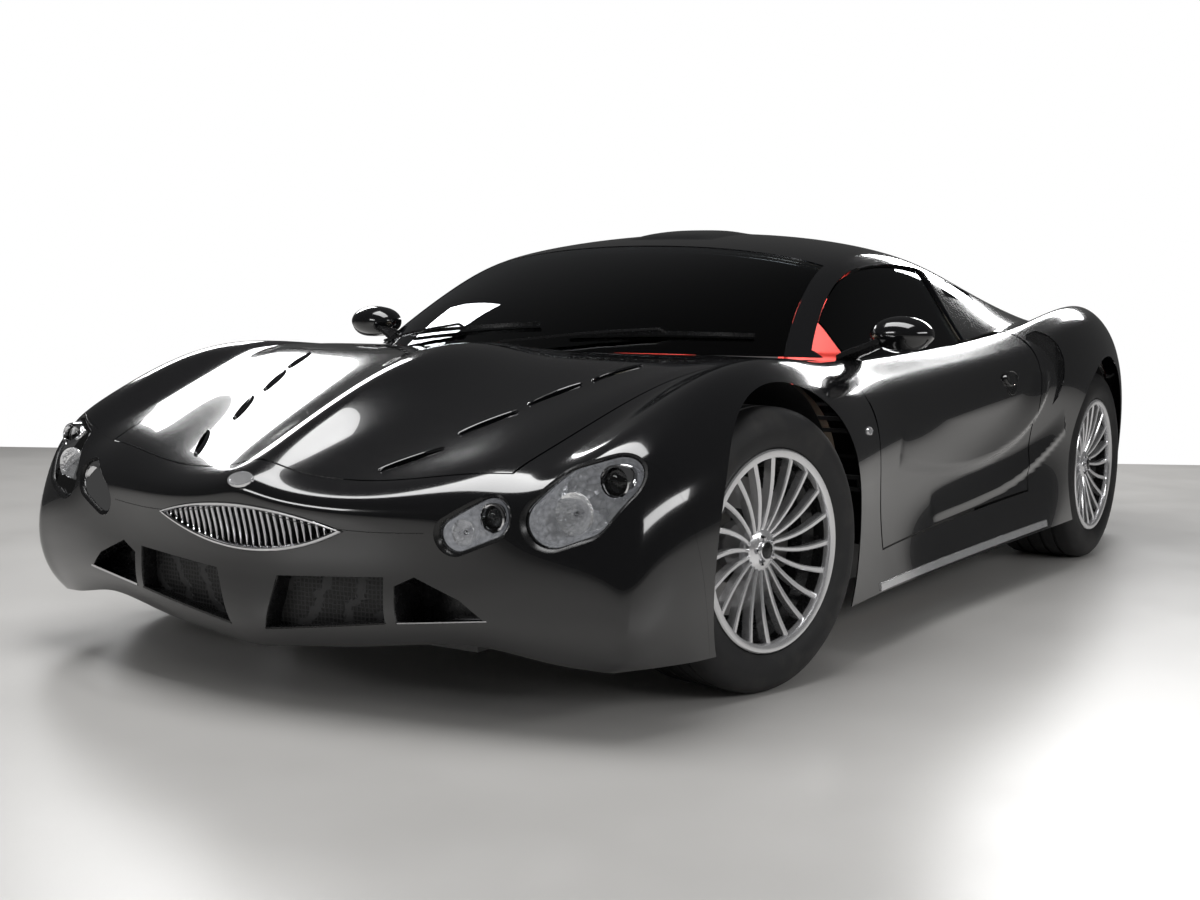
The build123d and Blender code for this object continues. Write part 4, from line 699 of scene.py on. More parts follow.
def around(circles, grow, side=1):
    # outline of the hull round a few circles, grown or shrunk; its count is the same for any growth
    raw = []
    for angle in circling(96):
        c, s = math.cos(angle), math.sin(angle)
        y, z, radius = max(circles, key=lambda q: q[0] * c + q[1] * s + q[2])
        raw.append(((y + radius * c, z + radius * s), (c, s)))
    out = []
    for (p, n), (q, m) in zip(raw, raw[1:] + raw[:1]):
        parts = max(1, math.ceil(math.dist(p, q) / 0.012))
        for w in [t / parts for t in range(parts)]:
            y, z = [a + b * grow for a, b in zip(between(p, q, w), between(n, m, w))]
            out.append((side * y, z))
    return out


outerLamp = ((0.835, 0.540, 0.051), (0.775, 0.520, 0.050), (0.745, 0.462, 0.058), (0.800, 0.478, 0.052))
innerLamp = ((0.610, 0.458, 0.043), (0.540, 0.420, 0.036))
lampEdge = 0.009
intakes = (
    ((0.092, 0.298), (0.372, 0.318), (0.372, 0.214), (0.052, 0.170)),
    ((0.398, 0.300), (0.446, 0.324), (0.552, 0.282), (0.606, 0.238), (0.398, 0.216)),
)
grilleShape = {"tip": (0.284, 0.412), "top": 0.456, "low": 0.345, "bars": 27}


def almond(shrink):
    # the grille's outline between two arcs, shrunk all round
    (tipY, tipZ), count = grilleShape["tip"], 48
    tipY -= 2.2 * shrink
    out = []
    for sign, rise in ((1, grilleShape["top"] - shrink - tipZ), (-1, tipZ - grilleShape["low"] - shrink)):
        radius = (tipY ** 2 + rise ** 2) / (2 * rise)
        half = math.asin(tipY / radius)
        for k in range(count):
            angle = half * (1 - 2 * k / count) * sign
            out.append((radius * math.sin(angle), tipZ + sign * (radius * math.cos(angle) - radius + rise)))
    return out


def nosePrism(outline):
    # from behind the lamps to ahead of the nose
    return prism(outline, 0, frontX + 0.38, frontX + 1.0)


def archCut(x, axle):
    return drum(1, (x, wheelRadius[axle]), archRadius[axle], 0.56, 1.2)


print("body panels")
noseHoles = [nosePrism(almond(0))]
for _, side in sides:
    noseHoles += [nosePrism(around(circles, lampEdge, side)) for circles in (outerLamp, innerLamp)]
    noseHoles += [nosePrism([(side * y, z) for y, z in points]) for points in intakes]
nose, foot, bonnetEdge = shell["nose"], shell["foot"], shell["bonnetEdge"]
past = (-0.006, 0.012)
noseHoles.append(skinPatch(body, (nose - body.gapU(nose, 1.0, shut), 6.2), (-bonnetEdge, bonnetEdge), past,
                           (0.2, 0.2)))
panel("bumper_front", body, (0, nose), (-foot, foot), cutters=noseHoles, hides=("front_bumper",))

edge = bonnetEdge - body.gapV(7.0, bonnetEdge, shut)
slit = {"half": 0.075, "wide": 0.0085}
# x ahead of the front axle, y and turn of each bonnet slit
slits = ((0.617, 0.328, 34), (0.412, 0.389, 26), (0.230, 0.452, 22), (0.060, 0.520, 20))
slitCuts = []
for x, y, turn in slits:
    for _, side in sides:
        angle = math.radians(-side * turn)
        outline = []
        for turned in circling(48):
            a, b = slit["half"] * math.cos(turned), slit["wide"] * math.sin(turned)
            outline.append((frontX + x + a * math.cos(angle) - b * math.sin(angle),
                            side * y + a * math.sin(angle) + b * math.cos(angle)))
        slitCuts.append(prism(outline, 2, 0.5, 0.8))
panel("bonnet_skin", body, (nose, shell["bonnetRear"]), (-edge, edge), cutters=slitCuts, rides="bonnet",
      hides=("bonnet",), pitch=(0.06, 0.08))

mirrorMesh(panel(
    "fender_left_skin", flank, (nose + body.gapU(nose, 7.0, seam), 12.4), (bonnetEdge, foot),
    cutters=[archCut(frontX, "front"), nosePrism(around(outerLamp, lampEdge)),
             beside(doorFront, frontX - 1.6, shut / 2)],
    hides=("fender_left",), pitch=(0.08, 0.1)))

windscreenPlan = ((-0.150, 0), (-0.160, 0.150), (-0.255, 0.360), (-0.500, 0.620), (-0.700, 0.640),
                  (-0.700, -0.640), (-0.500, -0.620), (-0.255, -0.360), (-0.160, -0.150))
rearEdge, sideEdge = shell["bonnetRear"], bonnetEdge - body.gapV(10.0, bonnetEdge, seam)
panel("scuttle_skin", body, (rearEdge + body.gapU(rearEdge, 2.0, shut), 10.9), (-sideEdge, sideEdge),
      hides=("scuttle",), pitch=(0.08, 0.08),
      cutters=[prism([(frontX + x, y) for x, y in windscreenPlan], 2, 0.6, 1.0)])


def halfSpace(origin, normal):
    # everything under a plane
    bm = bmesh.new()
    turn = Vector(normal).to_track_quat("Z", "Y").to_matrix().to_4x4()
    bmesh.ops.create_cube(bm, size=6, matrix=Matrix.Translation(origin) @ turn @ Matrix.Translation((0, 0, -3)))
    return bm


def relief(line, plan, top):
    # prism up a shut line, its plan given as offsets from the line and y
    bm = prism([(onLine(line, 0.0) + ahead, y) for ahead, y in plan], 2, 0.0, top)
    for v in bm.verts:
        v.co.x += onLine(line, v.co.z) - onLine(line, 0.0)
    return bm


def doorPiece():
    # outer skin in paint, the rest of the wall in trim
    sillLine = shell["sill"]
    uEnds, vEnds, pitch = (11.2, 15.6), (5.1, sillLine - body.gapV(13.0, sillLine, shut)), (0.03, 0.04)
    wall, drop, sillGap, sillRise = 0.130, 0.045, 0.0063, 0.05
    bm = skinPatch(flank, uEnds, vEnds, (0, 0), pitch)
    bm.verts.ensure_lookup_table()
    half = len(bm.verts) // 2
    for v in bm.verts[half:]:
        v.co += Vector((0, -wall, -drop))
    bmesh.ops.recalc_face_normals(bm, faces=bm.faces[:])
    low, high = Vector(body.at(11.4, sillLine)), Vector(body.at(15.4, sillLine))
    slope = (high.z - low.z) / (low.x - high.x)
    mesh = carved(bm, [
        beside(doorFront, 2.0, -shut / 2), beside(doorRear, -2.0, shut / 2),
        halfSpace(low + Vector((0, 0, sillGap)), (slope, sillRise, 1)),
        relief(doorFront, ((0.060, 0.966), (-0.002, 0.966), (-0.008, 0.951), (-0.008, 0.5), (0.060, 0.5)),
               0.665),
        relief(doorRear, ((-0.060, 0.962), (0.002, 0.962), (0.017, 0.850), (0.017, 0.5), (-0.060, 0.5)), 1.0)])
    smoothed(mesh, flank, uEnds, vEnds, 0.0, pitch)
    for face in mesh.polygons:
        face.material_index = int(face.normal.y < -0.5)
    return finishMesh("door_left_skin", mesh, (paint, beigeLeather), "door_left", "gloss_paint", None,
                      ("door_left",))


mirrorMesh(doorPiece())

scoop = [(-0.516, 0.810), (-0.560, 0.826), (-0.640, 0.838), (-0.676, 0.822), (-0.694, 0.790), (-0.698, 0.740),
         (-0.682, 0.670), (-0.650, 0.618), (-0.606, 0.590), (-0.622, 0.660), (-0.600, 0.730), (-0.556, 0.786)]
mirrorMesh(panel(
    "quarter_left_skin", flank, (14.4, shell["tail"]), (shell["lidEdge"], foot), hides=("quarter_left",),
    pitch=(0.035, 0.05),
    cutters=[prism(scoop, 1, 0.855, halfCar), archCut(rearX, "rear"), beside(doorRear, 0.9, -shut / 2),
             prism([(midX + x, y) for x, y in (
                 (-0.83, 0), (-0.83, 0.70), (-0.70, 0.775), (-0.10, 0.775), (-0.10, 0))], 2, 0.6, halfCar)]))


def denser(outline, longest=0.012):
    # a closed outline with points added along its longer edges
    out = []
    for p, q in zip(outline, outline[1:] + outline[:1]):
        parts = max(1, math.ceil(math.dist(p, q) / longest))
        out += [tuple(a + (b - a) * t / parts for a, b in zip(p, q)) for t in range(parts)]
    return out


def scaled(outline, share):
    # an outline grown or shrunk about the mean of its points
    cx, cz = [sum(p[k] for p in outline) / len(outline) for k in (0, 1)]
    return [(cx + (x - cx) * share, cz + (z - cz) * share) for x, z in outline]


scoopEdge = denser(scoop)
duct = loft([onFlank(scaled(scoopEdge, share), depth) for share, depth in (
    (1.012, 0.0032), (1.012, 0.060), (0.990, 0.057), (1.0, 0.0032))])
mirrorMesh(finished("scoop_duct_left", duct, satin, "body", "black_plastic"))
mirrorMesh(panel("sill_left", body, (11.2, 15.4), (shell["sill"], foot), hides=("sills",)))
lidFront, tail, lidSide = shell["lidFront"], shell["tail"], shell["lidEdge"]
deckEdge, lidEdge = lidSide - body.gapV(17.0, lidSide, seam), lidSide - body.gapV(18.0, lidSide, shut)
panel("deck_skin", body, (shell["deckFront"], lidFront), (-deckEdge, deckEdge), hides=("rear_deck",))
panel("boot_skin", body, (lidFront + body.gapU(lidFront, 1.0, shut), tail), (-lidEdge, lidEdge),
      rides="boot_lid", hides=("boot_lid",), pitch=(0.08, 0.1))
tailLamps = ((0.500, 0.612, 0.044), (0.612, 0.622, 0.036))
exhaust = (0.330, 0.285, 0.046)
tailX = rearX - 0.86
tailHoles = [skinPatch(body, (19.6, tail + body.gapU(tail, 1.0, shut)), (-lidSide, lidSide), past, (0.2, 0.2))]
for _, side in sides:
    for y, z, radius in (*tailLamps, exhaust):
        tailHoles.append(drum(0, (side * y, z), radius + seam, tailX - 0.34, tailX, 64))
panel("bumper_rear", body, (tail + 0.01, 24), (-foot, foot), cutters=tailHoles, hides=("rear_bumper",))
print("glasshouse")
underBody = skinPatch(body, (8.8, 18.6), (-6.4, 6.4), (-0.0006, 0.12), (0.1, 0.1))
through = (-0.02, 0.06)
roofCuts = [skinPatch(house, (0, 2.75), (-2.1, 2.1), through),
            skinPatch(house, (5.95, 7.35), (-1.9, 1.9), through), underBody.copy()]
for _, side in sides:
    doorGlass, quarterGlass, doorTop = [sorted((side * low, side * high)) for low, high in (
        (2.70, 5.0), (2.85, 3.75), (4.4, 7.0))]
    roofCuts += [skinPatch(house, (0.55, 4.75), doorGlass, through, (0.1, 0.06)),
                 skinPatch(house, (4.98, 5.9), quarterGlass, through, (0.06, 0.06)),
                 cut(skinPatch(body, (11.0, 15.8), doorTop, (-shut, 0.12)), beside(doorFront, 2.0, 0.002))]
panel("roof_skin", house, (0, 8), (-5, 5), (0, shell["roofWall"]), cutters=roofCuts, hides=("roof_frame",),
      pitch=(0.08, 0.08))


class Domed(Net):
    # a net raised to a low blister over one patch of it
    def __init__(self, base, uEnds, vEnds, tall):
        self.base, self.uEnd, self.vEnd = base, base.uEnd, base.vEnd
        self.uEnds, self.vEnds, self.tall = uEnds, vEnds, tall

    def at(self, u, v):
        s, t = [np.clip((2 * w - a - b) / (b - a), -1, 1) for w, (a, b) in ((u, self.uEnds), (v, self.vEnds))]
        rise = (1 - s ** 4) * (1 - t ** 4)
        return self.base.at(u, v) + self.base.outward(u, v) * (self.tall * rise)[..., None]


blister = Domed(house, (3.12, 3.98), (-0.48, 0.48), 0.0125)
panel("roof_piece", blister, (3.12, 3.98), (-0.48, 0.48), (0.0, 0.004), pitch=(0.03, 0.03))
pane = (0.002, 0.007)
panel("windscreen_glass", house, (0.02, 2.746), (-2.097, 2.097), pane, cutters=[underBody.copy()],
      material=tinted, slot="clear_glass", hides=("windscreen",))
panel("rear_screen", house, (5.954, 7.346), (-1.897, 1.897), pane, material=tinted, slot="clear_glass",
      hides=("rear_glass",))
mirrorMesh(panel("quarter_glass_left", house, (4.984, 5.896), (2.853, 3.747), pane, material=smoked,
                 slot="clear_glass"))
mirrorMesh(panel("door_glass_left_pane", house, (1.45, 4.72), (2.78, 5.4), (0.009, 0.014), material=smoked,
                 rides="door_left", slot="clear_glass", hides=("door_glass_left",)))
underBody.free()
print("lamps")


def spinAt(profile, place, steps=48, facing=Vector((1, 0, 0))):
    # a turned solid whose axis points along facing
    bm = spun(profile, steps)
    turn = Vector((0, 1, 0)).rotation_difference(facing).to_matrix().to_4x4()
    bmesh.ops.transform(bm, matrix=Matrix.Translation(place) @ turn, verts=bm.verts[:])
    return bm


def arcSteps(steps, turn):
    # even angles up to turn, without 0
    return [turn * i / steps for i in range(1, steps + 1)]


def lampPieces(label, circles, word, side):
    # dark recess, chrome bowl, its units and the lens over them
    rings = [onNose(around(circles, grow, side), depth) for grow, depth in (
        (lampEdge - 0.0004, -0.0002), (0.004, 0.0035), (-0.001, 0.013), (-0.001, 0.020),
        (lampEdge - 0.0004, 0.020))]
    recess = loft(rings + rings[:1], ends=False)
    finished(f"lamp_recess_{label}_{word}", recess, satin, "body", "black_plastic")
    bowl = loft([onNose(around(circles, grow, side), depth) for grow, depth in (
        (-0.024, 0.074), (-0.014, 0.074), (0.001, 0.056), (0.003, 0.020), (-0.001, 0.020), (-0.003, 0.052),
        (-0.017, 0.068), (-0.024, 0.068))])
    finished(f"lamp_bowl_{label}_{word}", bowl, lampBowl, "body", "lamp_inside", hides=("headlamp_bowls",))
    lens = loft([onNose(around(circles, -0.0015, side), depth) for depth in (0.0125, 0.0095)])
    finished(f"lamp_lens_{label}_{word}", lens, clear, "body", "lamp_lens", hides=("headlamp_lenses",))
    for k, (kind, y, z, radius, back) in enumerate(lampUnits[label]):
        y *= side
        front = Vector((noseX(y, z) - back, y, z))
        if kind == "projector":
            ring = [(radius - 0.006, 0.002), (radius - 0.003, 0.006), (radius, 0.004), (radius + 0.001, -0.004),
                    (radius + 0.001, -0.050), (radius - 0.006, -0.050)]
            finished(f"lamp_ring_{label}_{k}_{word}", spinAt(ring, front), chrome, "body", "bright_trim")
            dome = [((radius - 0.008) * math.sin(a), -0.012 + 0.014 * math.cos(a))
                    for a in arcSteps(8, math.pi / 2)]
            dome = [(0, 0.002), *dome, (0, -0.012)]
            finished(f"lamp_dome_{label}_{k}_{word}", spinAt(dome, front), clear, "body", "lamp_lens")
            core = [(0, -0.030), (radius - 0.010, -0.020), (radius - 0.0065, -0.006), (radius - 0.0062, -0.034),
                    (0, -0.034)]
            finished(f"lamp_core_{label}_{k}_{word}", spinAt(core, front), satin, "body", "lamp_inside")
        else:
            dish = [(0, -0.030)] + [(radius * i / 10, -0.030 + 0.030 * (i / 10) ** 2) for i in range(1, 11)]
            dish += [(radius + 0.003, 0.002), (radius + 0.004, -0.004), (radius * 0.6, -0.034), (0, -0.036)]
            finished(f"lamp_dish_{label}_{k}_{word}", spinAt(dish, front), reflector, "body", "lamp_inside")
            bulb = [(0.009 * math.sin(a), -0.013 + 0.009 * math.cos(a)) for a in arcSteps(10, math.pi)[:6]]
            bulb = [(0, -0.004), *bulb, (0.008, -0.030), (0, -0.030)]
            finished(f"lamp_bulb_{label}_{k}_{word}", spinAt(bulb, front, 24), chrome, "body", "lamp_inside")


def faceted(name, scale, bright, dim, metal, rough, depth, strength, glow):
    # a bright stepped reflector, each facet painted brighter in its middle than at its edges as a painted
    # highlight, that also glows a little with painted light, so that the bowl isn't a black hole
    s = Shade(name)
    facets = s.cells(scale)
    return s.surface(Base_Color=s.mix(facets, bright, dim), Metallic=metal,
                     Roughness=facets * rough[0] + rough[1], Normal=s.bump(facets, depth, strength),
                     Emission_Color=s.mix(facets, *glow[:2]), Emission_Strength=glow[2])


# bright and dim are each facet's painted highlight colours; the last triple is the painted glow: its two colours
# and its strength
lampBowl = faceted("lampBowl", 70.0, (0.95, 0.95, 0.96), (0.66, 0.66, 0.68), 0.70, (0.12, 0.18), 0.004, 0.9,
                   ((0.95, 0.97, 1.0), (0.45, 0.46, 0.48), 0.08))
reflector = faceted("lampDish", 120.0, (0.96, 0.96, 0.96), (0.76, 0.76, 0.78), 0.75, (0.1, 0.12), 0.002, 0.7,
                    ((1.0, 1.0, 1.0), (0.5, 0.51, 0.53), 0.10))
# each lamp's units: kind, y, z, radius and how far behind the skin
lampUnits = {
    "outer": (("projector", 0.836, 0.541, 0.036, 0.024), ("dish", 0.772, 0.474, 0.042, 0.028)),
    "inner": (("projector", 0.611, 0.459, 0.032, 0.022), ("dish", 0.546, 0.424, 0.026, 0.026)),
}
for word, side in sides:
    lampPieces("outer", outerLamp, word, side)
    lampPieces("inner", innerLamp, word, side)

print("grille and intakes")
rimRings = [onNose(almond(shrink), depth) for shrink, depth in (
    (0.0005, 0.016), (0.0005, -0.001), (0.003, -0.0038), (0.007, -0.0040), (0.0105, -0.001), (0.0125, 0.006),
    (0.0130, 0.016))]
finished("grille_rim", loft(rimRings + rimRings[:1], ends=False), chrome, "body", "bright_trim",
         hides=("grille",))
bars = bmesh.new()
(tipY, tipZ), barCount = grilleShape["tip"], grilleShape["bars"]
for k in range(barCount):
    y = (k - (barCount - 1) / 2) * (2 * tipY / (barCount + 3))
    reach, short = 1 - (y / tipY) ** 2, 0.004
    low = tipZ + (grilleShape["low"] - tipZ) * reach + short
    top = tipZ + (grilleShape["top"] - tipZ) * reach - short
    rings = []
    for t in range(9):
        z = low + (top - low) * t / 8
        x = noseX(y, z) - 0.008
        rings.append([Vector((x - d, y + w, z)) for w, d in (
            (-0.0013, 0), (0.0013, 0), (0.0026, 0.003), (0.0026, 0.020), (-0.0026, 0.020), (-0.0026, 0.003))])
    join(bars, loft(rings))
finished("grille_bars", bars, chrome, "body", "bright_trim", smooth=30)
back = loft([onNose(almond(0.001), depth) for depth in (0.050, 0.045)])
finished("grille_back", back, plastic, "body", "black_plastic")


def meshMaterial():
    # fine dark honeycomb, with painted shade in the openings between its wires
    s = Shade("intakeMesh")
    wire = 1 - s.cells(95.0, "DISTANCE_TO_EDGE", Randomness=0.15).above(0.10, 0.08)
    return s.surface(Base_Color=s.mix(wire, (0.001, 0.001, 0.001), (0.030, 0.030, 0.031)),
                     Roughness=s.noise(40) * 0.1 + 0.45, Normal=s.bump(wire, 0.002, 1.0))


def flatAt(x, outline):
    return [Vector((x, y, z)) for y, z in outline]


wire = meshMaterial()
for word, side in sides:
    for k, points in enumerate(intakes):
        # a sleeve behind the lip, the wire, and the duct box behind it
        dense = denser([(side * y, z) for y, z in points], 0.02)
        sleeve = [onNose(scaled(dense, share), depth) for share, depth in (
            (1.0, 0.0005), (0.985, 0.004), (0.96, 0.050), (1.02, 0.050), (1.02, 0.0035))]
        finished(f"intake_sleeve_{k}_{word}", loft(sleeve + sleeve[:1], ends=False), satin, "body",
                 "black_plastic")
        finished(f"intake_wire_{k}_{word}", loft([onNose(scaled(dense, 0.995), depth)
                                                  for depth in (0.048, 0.043)]),
                 wire, "body", "black_plastic", hides=("intake_mesh",))
        farX = min(noseX(y, z) for y, z in dense)
        duct = loft([
            flatAt(farX - 0.064, scaled(dense, 0.5)), flatAt(farX - 0.064, scaled(dense, 1.05)),
            onNose(scaled(dense, 1.035), 0.006), onNose(scaled(dense, 1.024), 0.006),
            flatAt(farX - 0.061, scaled(dense, 1.035)), flatAt(farX - 0.061, scaled(dense, 0.5))])
        finished(f"intake_duct_{k}_{word}", duct, satin, "body", "black_plastic")

print("wheels")


def treadRing(radius, width):
    # tyre profile, outer wall at y = 0, with four grooves
    seat, shoulder = 0.2289, radius - 0.036
    outer = [(seat, -0.0305), (seat, -0.0165), (0.2425, -0.013), (0.2445, -0.004), (0.2550, 0.002),
             (0.2700, 0.0062), (0.2850, 0.0078), (shoulder - 0.012, 0.0066), (shoulder + 0.006, 0.0030),
             (radius - 0.018, -0.0030), (radius - 0.008, -0.0120), (radius - 0.003, -0.0220)]
    tread = [(radius - 0.0008, -0.034)]
    for share in (0.24, 0.41, 0.59, 0.76):
        y = -width * share
        tread += [(radius, y + 0.006), (radius - 0.007, y + 0.0045), (radius - 0.007, y - 0.0045),
                  (radius, y - 0.006)]
    tread.append((radius - 0.0008, 0.034 - width))
    far = [(a, -width - b) for a, b in reversed(outer)]
    inside = [(seat + 0.012, 0.036 - width), (shoulder, 0.040 - width), (radius - 0.016, -width / 2),
              (shoulder, -0.040), (seat + 0.012, -0.036)]
    return spun(outer + tread + far + inside, 128)


def blade():
    # one slim blade, leaning out to the rim and bowed a little
    rings = []
    root, tip, deep = 0.040, 0.2215, 0.026
    for t in [k / 8 for k in range(9)]:
        radius = root + (tip - root) * t
        y = -0.040 + 0.0305 * t ** 0.8
        bow = 0.010 * math.sin(math.pi * t)
        half = 0.0046 + 0.0026 * t
        rings.append([Vector((radius, y + d, bow + w)) for w, d in (
            (-half, -0.003), (-half * 0.55, 0), (half * 0.55, 0), (half, -0.003), (half * 0.7, -deep),
            (-half * 0.7, -deep))])
    return loft(rings)


def ringOf(make, count):
    out = bmesh.new()
    for angle in circling(count):
        join(out, make(), Matrix.Rotation(angle, 4, "Y"))
    return out


def lug():
    bm = spun([(0, 0.004), (0.0055, 0.003), (0.0075, -0.002), (0.0075, -0.016), (0, -0.016)], 6)
    bmesh.ops.translate(bm, verts=bm.verts[:], vec=(0.030, -0.026, 0))
    return bm


tyreWidth = {"front": 0.245, "rear": 0.285}
outerFace = {"front": 0.950, "rear": 0.956}
kingpinY, restTurn = 0.765, math.radians(-11.8)


def wheel(axle, word, side):
    # built with its outer face at y = 0, then put in place; the front wheels rest turned on their kingpins
    width, out, bodyName = tyreWidth[axle], outerFace[axle], f"wheel_{axle}_{word}"
    if axle == "front":
        place = (Matrix.Translation((frontX, side * kingpinY, wheelRadius[axle]))
                 @ Matrix.Rotation(restTurn, 4, "Z") @ Matrix.Translation((0, side * (out - kingpinY), 0)))
    else:
        place = Matrix.Translation((rearX, side * out, wheelRadius[axle]))
    if side < 0:
        place = place @ Matrix.Rotation(math.pi, 4, "Z")
    seat, flange = 0.2286, 0.2410
    lip = [(flange - 0.003, 0.0), (flange, -0.003), (flange, -0.0125), (seat + 0.0002, -0.0158), (seat, -0.020),
           (seat - 0.0085, -0.024), (seat - 0.0095, -0.010), (seat - 0.0070, -0.003), (seat + 0.0040, 0.0002)]
    barrel = [(seat - 0.0088, -0.0215), (seat - 0.0002, -0.0205), (seat, -0.050), (seat - 0.020, -0.070),
              (seat - 0.020, 0.050 - width), (seat, 0.030 - width), (seat, 0.014 - width),
              (flange, 0.012 - width), (flange, -width), (seat - 0.008, -width), (seat - 0.008, 0.026 - width),
              (seat - 0.028, 0.046 - width), (seat - 0.028, -0.074), (seat - 0.008, -0.054)]
    hub = [(0, -0.030), (0.026, -0.031), (0.040, -0.034), (0.050, -0.040), (0.052, -0.050), (0.060, -0.060),
           (0.062, -0.128), (0, -0.128)]
    cap = [(0, -0.0215), (0.010, -0.0220), (0.0175, -0.0245), (0.0195, -0.0290), (0.0195, -0.0330),
           (0, -0.0330)]
    capRing = [(0.0200, -0.0235), (0.0225, -0.0250), (0.0235, -0.0300), (0.0235, -0.0340), (0.0197, -0.0340)]
    disc = [(0.090, -0.128), (0.168, -0.128), (0.168, -0.138), (0.158, -0.138), (0.158, -0.150),
            (0.168, -0.150), (0.168, -0.160), (0.090, -0.160)]
    pieces = (
        ("lip", spun(lip, 128), rimFinish, "bright_rim"), ("barrel", spun(barrel, 96), satin, "bright_rim"),
        ("blades", ringOf(blade, 20), rimFinish, "bright_rim"), ("hub", spun(hub, 64), rimFinish, "bright_rim"),
        ("cap", spun(cap, 48), satin, "bright_rim"), ("cap_ring", spun(capRing, 48), rimFinish, "bright_rim"),
        ("lugs", ringOf(lug, 5), chrome, "bright_rim"), ("disc", spun(disc, 96), discSteel, "pipe_steel"),
        ("tyre", treadRing(wheelRadius[axle], width), rubber, "tyre_rubber"),
    )
    for label, bm, material, slot in pieces:
        bmesh.ops.transform(bm, matrix=place, verts=bm.verts[:])
        hides = {"lip": (f"rim_{axle}_{word}",), "tyre": (f"tyre_{axle}_{word}",)}.get(label, ())
        finished(f"{bodyName}_{label}", bm, material, bodyName, slot, 35, hides)


for axle in wheelRadius:
    for word, side in sides:
        wheel(axle, word, side)

print("trims")


def skinLine(name, net, points, section, material, rides, slot, lift=0.0):
    # a slim strip laid along u, v points of a net; section is (across, out) pairs
    rings = []
    for k, (u, v) in enumerate(points):
        a, b = points[max(k - 1, 0)], points[min(k + 1, len(points) - 1)]
        along = Vector(net.at(*b) - net.at(*a)).normalized()
        out = Vector(net.outward(u, v))
        over = along.cross(out).normalized()
        place = Vector(net.at(u, v)) + out * lift
        rings.append([place + over * s + out * t for s, t in section])
    return finished(name, loft(rings), material, rides, slot)


def along(points, count):
    # evenly many points along a polyline in u, v
    spans = [math.dist(a, b) for a, b in zip(points, points[1:])]
    total, out = sum(spans), []
    for k in range(count + 1):
        reach = total * k / count
        for (a, b), span in zip(zip(points, points[1:]), spans):
            if reach <= span + 1e-9:
                out.append(tuple(p + (q - p) * reach / span for p, q in zip(a, b)))
                break
            reach -= span
    return out


seamSection = roundSection(0.0011, 6)
noseSeam = eased([(3.0, 3.7), (3.0, 3.0), (3.2, 1.6), (3.25, 0.0), (3.2, -1.6), (3.0, -3.0), (3.0, -3.7)])
skinLine("nose_seam", body, along(noseSeam, 90), seamSection, satin, "body", "black_plastic", -0.0002)

topFinder = Finder(body, 2, (4.8, 9.6), (0, 4.7))
bonnetLips = bmesh.new()
for x, y, turn in slits:
    for _, side in sides:
        angle = math.radians(-turn)
        rings = []
        for k in range(-2, 27):
            a = math.pi * k / 24
            reach = min(1.0, math.sin(math.pi * (k + 2) / 28) * 2.2)
            px, py = 0.0762 * math.cos(a), -0.0100 * math.sin(a)
            place = (frontX + x + px * math.cos(angle) - py * math.sin(angle),
                     y + px * math.sin(angle) + py * math.cos(angle))
            u, v = topFinder.meet(*place)
            centre, out = Vector(body.at(u, v)), Vector(body.outward(u, v))
            centre.y, out.y = side * centre.y, side * out.y
            inward = Vector((0, side, 0))
            rings.append([centre + inward * (w * reach) + out * (h * reach) for w, h in (
                (-0.0060, -0.0005), (-0.0030, 0.0040), (0.0010, 0.0062), (0.0030, 0.0050), (0.0034, -0.0010))])
        join(bonnetLips, loft(rings))
finished("bonnet_slit_lips", bonnetLips, paint, "bonnet", "gloss_paint", smooth=50)
panel("bonnet_under", body, (5.1, 9.0), (-4.3, 4.3), (0.024, 0.026), rides="bonnet", material=plastic,
      slot="black_plastic", pitch=(0.3, 0.3))


def disc(net, u, v, wide, tall, thick, lift=0.0):
    # a low oval plate standing on a net: wide along v, tall along u
    centre, out = Vector(net.at(u, v)), Vector(net.outward(u, v))
    over = Vector(net.at(u, v + 0.01) - net.at(u, v - 0.01)).normalized()
    up = out.cross(over)
    rings = [[centre + over * (wide * s * math.cos(a)) + up * (tall * s * math.sin(a))
              + out * (lift + thick * h)
              for a in circling(40)] for s, h in (
        (1.0, -0.6), (1.0, 0.5), (0.96, 0.9), (0.86, 1.0), (0.80, 0.8), (0.4, 0.9), (0.05, 0.92))]
    return loft(rings)


finished("badge_nose", disc(body, 4.2, 0.0, 0.036, 0.022, 0.004, -0.0015), rimFinish, "body", "bright_trim")
mirrorMesh(finished("marker_left", disc(flank, *sideFinder.meet(0.952, 0.594), 0.011, 0.019, 0.004), rimFinish,
                    "body", "bright_trim"))
handle = disc(flank, *sideFinder.meet(-0.225, 0.690), 0.026, 0.050, 0.009, 0.002)
mirrorMesh(finished("handle_left", handle, paint, "door_left", "gloss_paint"))
hollow = disc(flank, *sideFinder.meet(-0.232, 0.672), 0.034, 0.046, 0.0015)
mirrorMesh(finished("handle_cup_left", hollow, satin, "door_left", "black_plastic"))

for word, side in sides:
    for k, (start, end) in enumerate(((3, 2), (4, 3))):
        low = [(side * y, z) for y, z in intakes[k]]
        path = [between(low[start], low[end], i / 16) for i in range(17)]
        line = [Vector((noseX(y, z) - 0.010, y, z + 0.003)) for y, z in path]
        bm = sweep(line, [(-0.012, -0.002), (0.010, -0.002), (0.012, 0.001), (0.009, 0.003), (-0.012, 0.003)])
        finished(f"intake_blade_{k}_{word}", bm, chrome if k else satin, "body",
                 "bright_trim" if k else "black_plastic")

sillLine = along([(11.75, 9.93), (15.1, 9.93)], 60)
mirrorMesh(skinLine(
    "sill_strip_left", body, sillLine, [(-0.012, -0.001), (0.012, -0.001), (0.010, 0.004), (-0.010, 0.004)],
    rimFinish, "body", "bright_trim"))
mirrorMesh(skinLine(
    "window_trim_left", house, along([(3.2, 2.735), (4.72, 2.735), (4.78, 2.80), (4.78, 4.3)], 60),
    [(-0.0022, -0.001), (0.0022, -0.001), (0.0016, 0.0022), (-0.0016, 0.0022)], chrome, "body", "bright_trim"))

print("mirrors, tail and small parts")


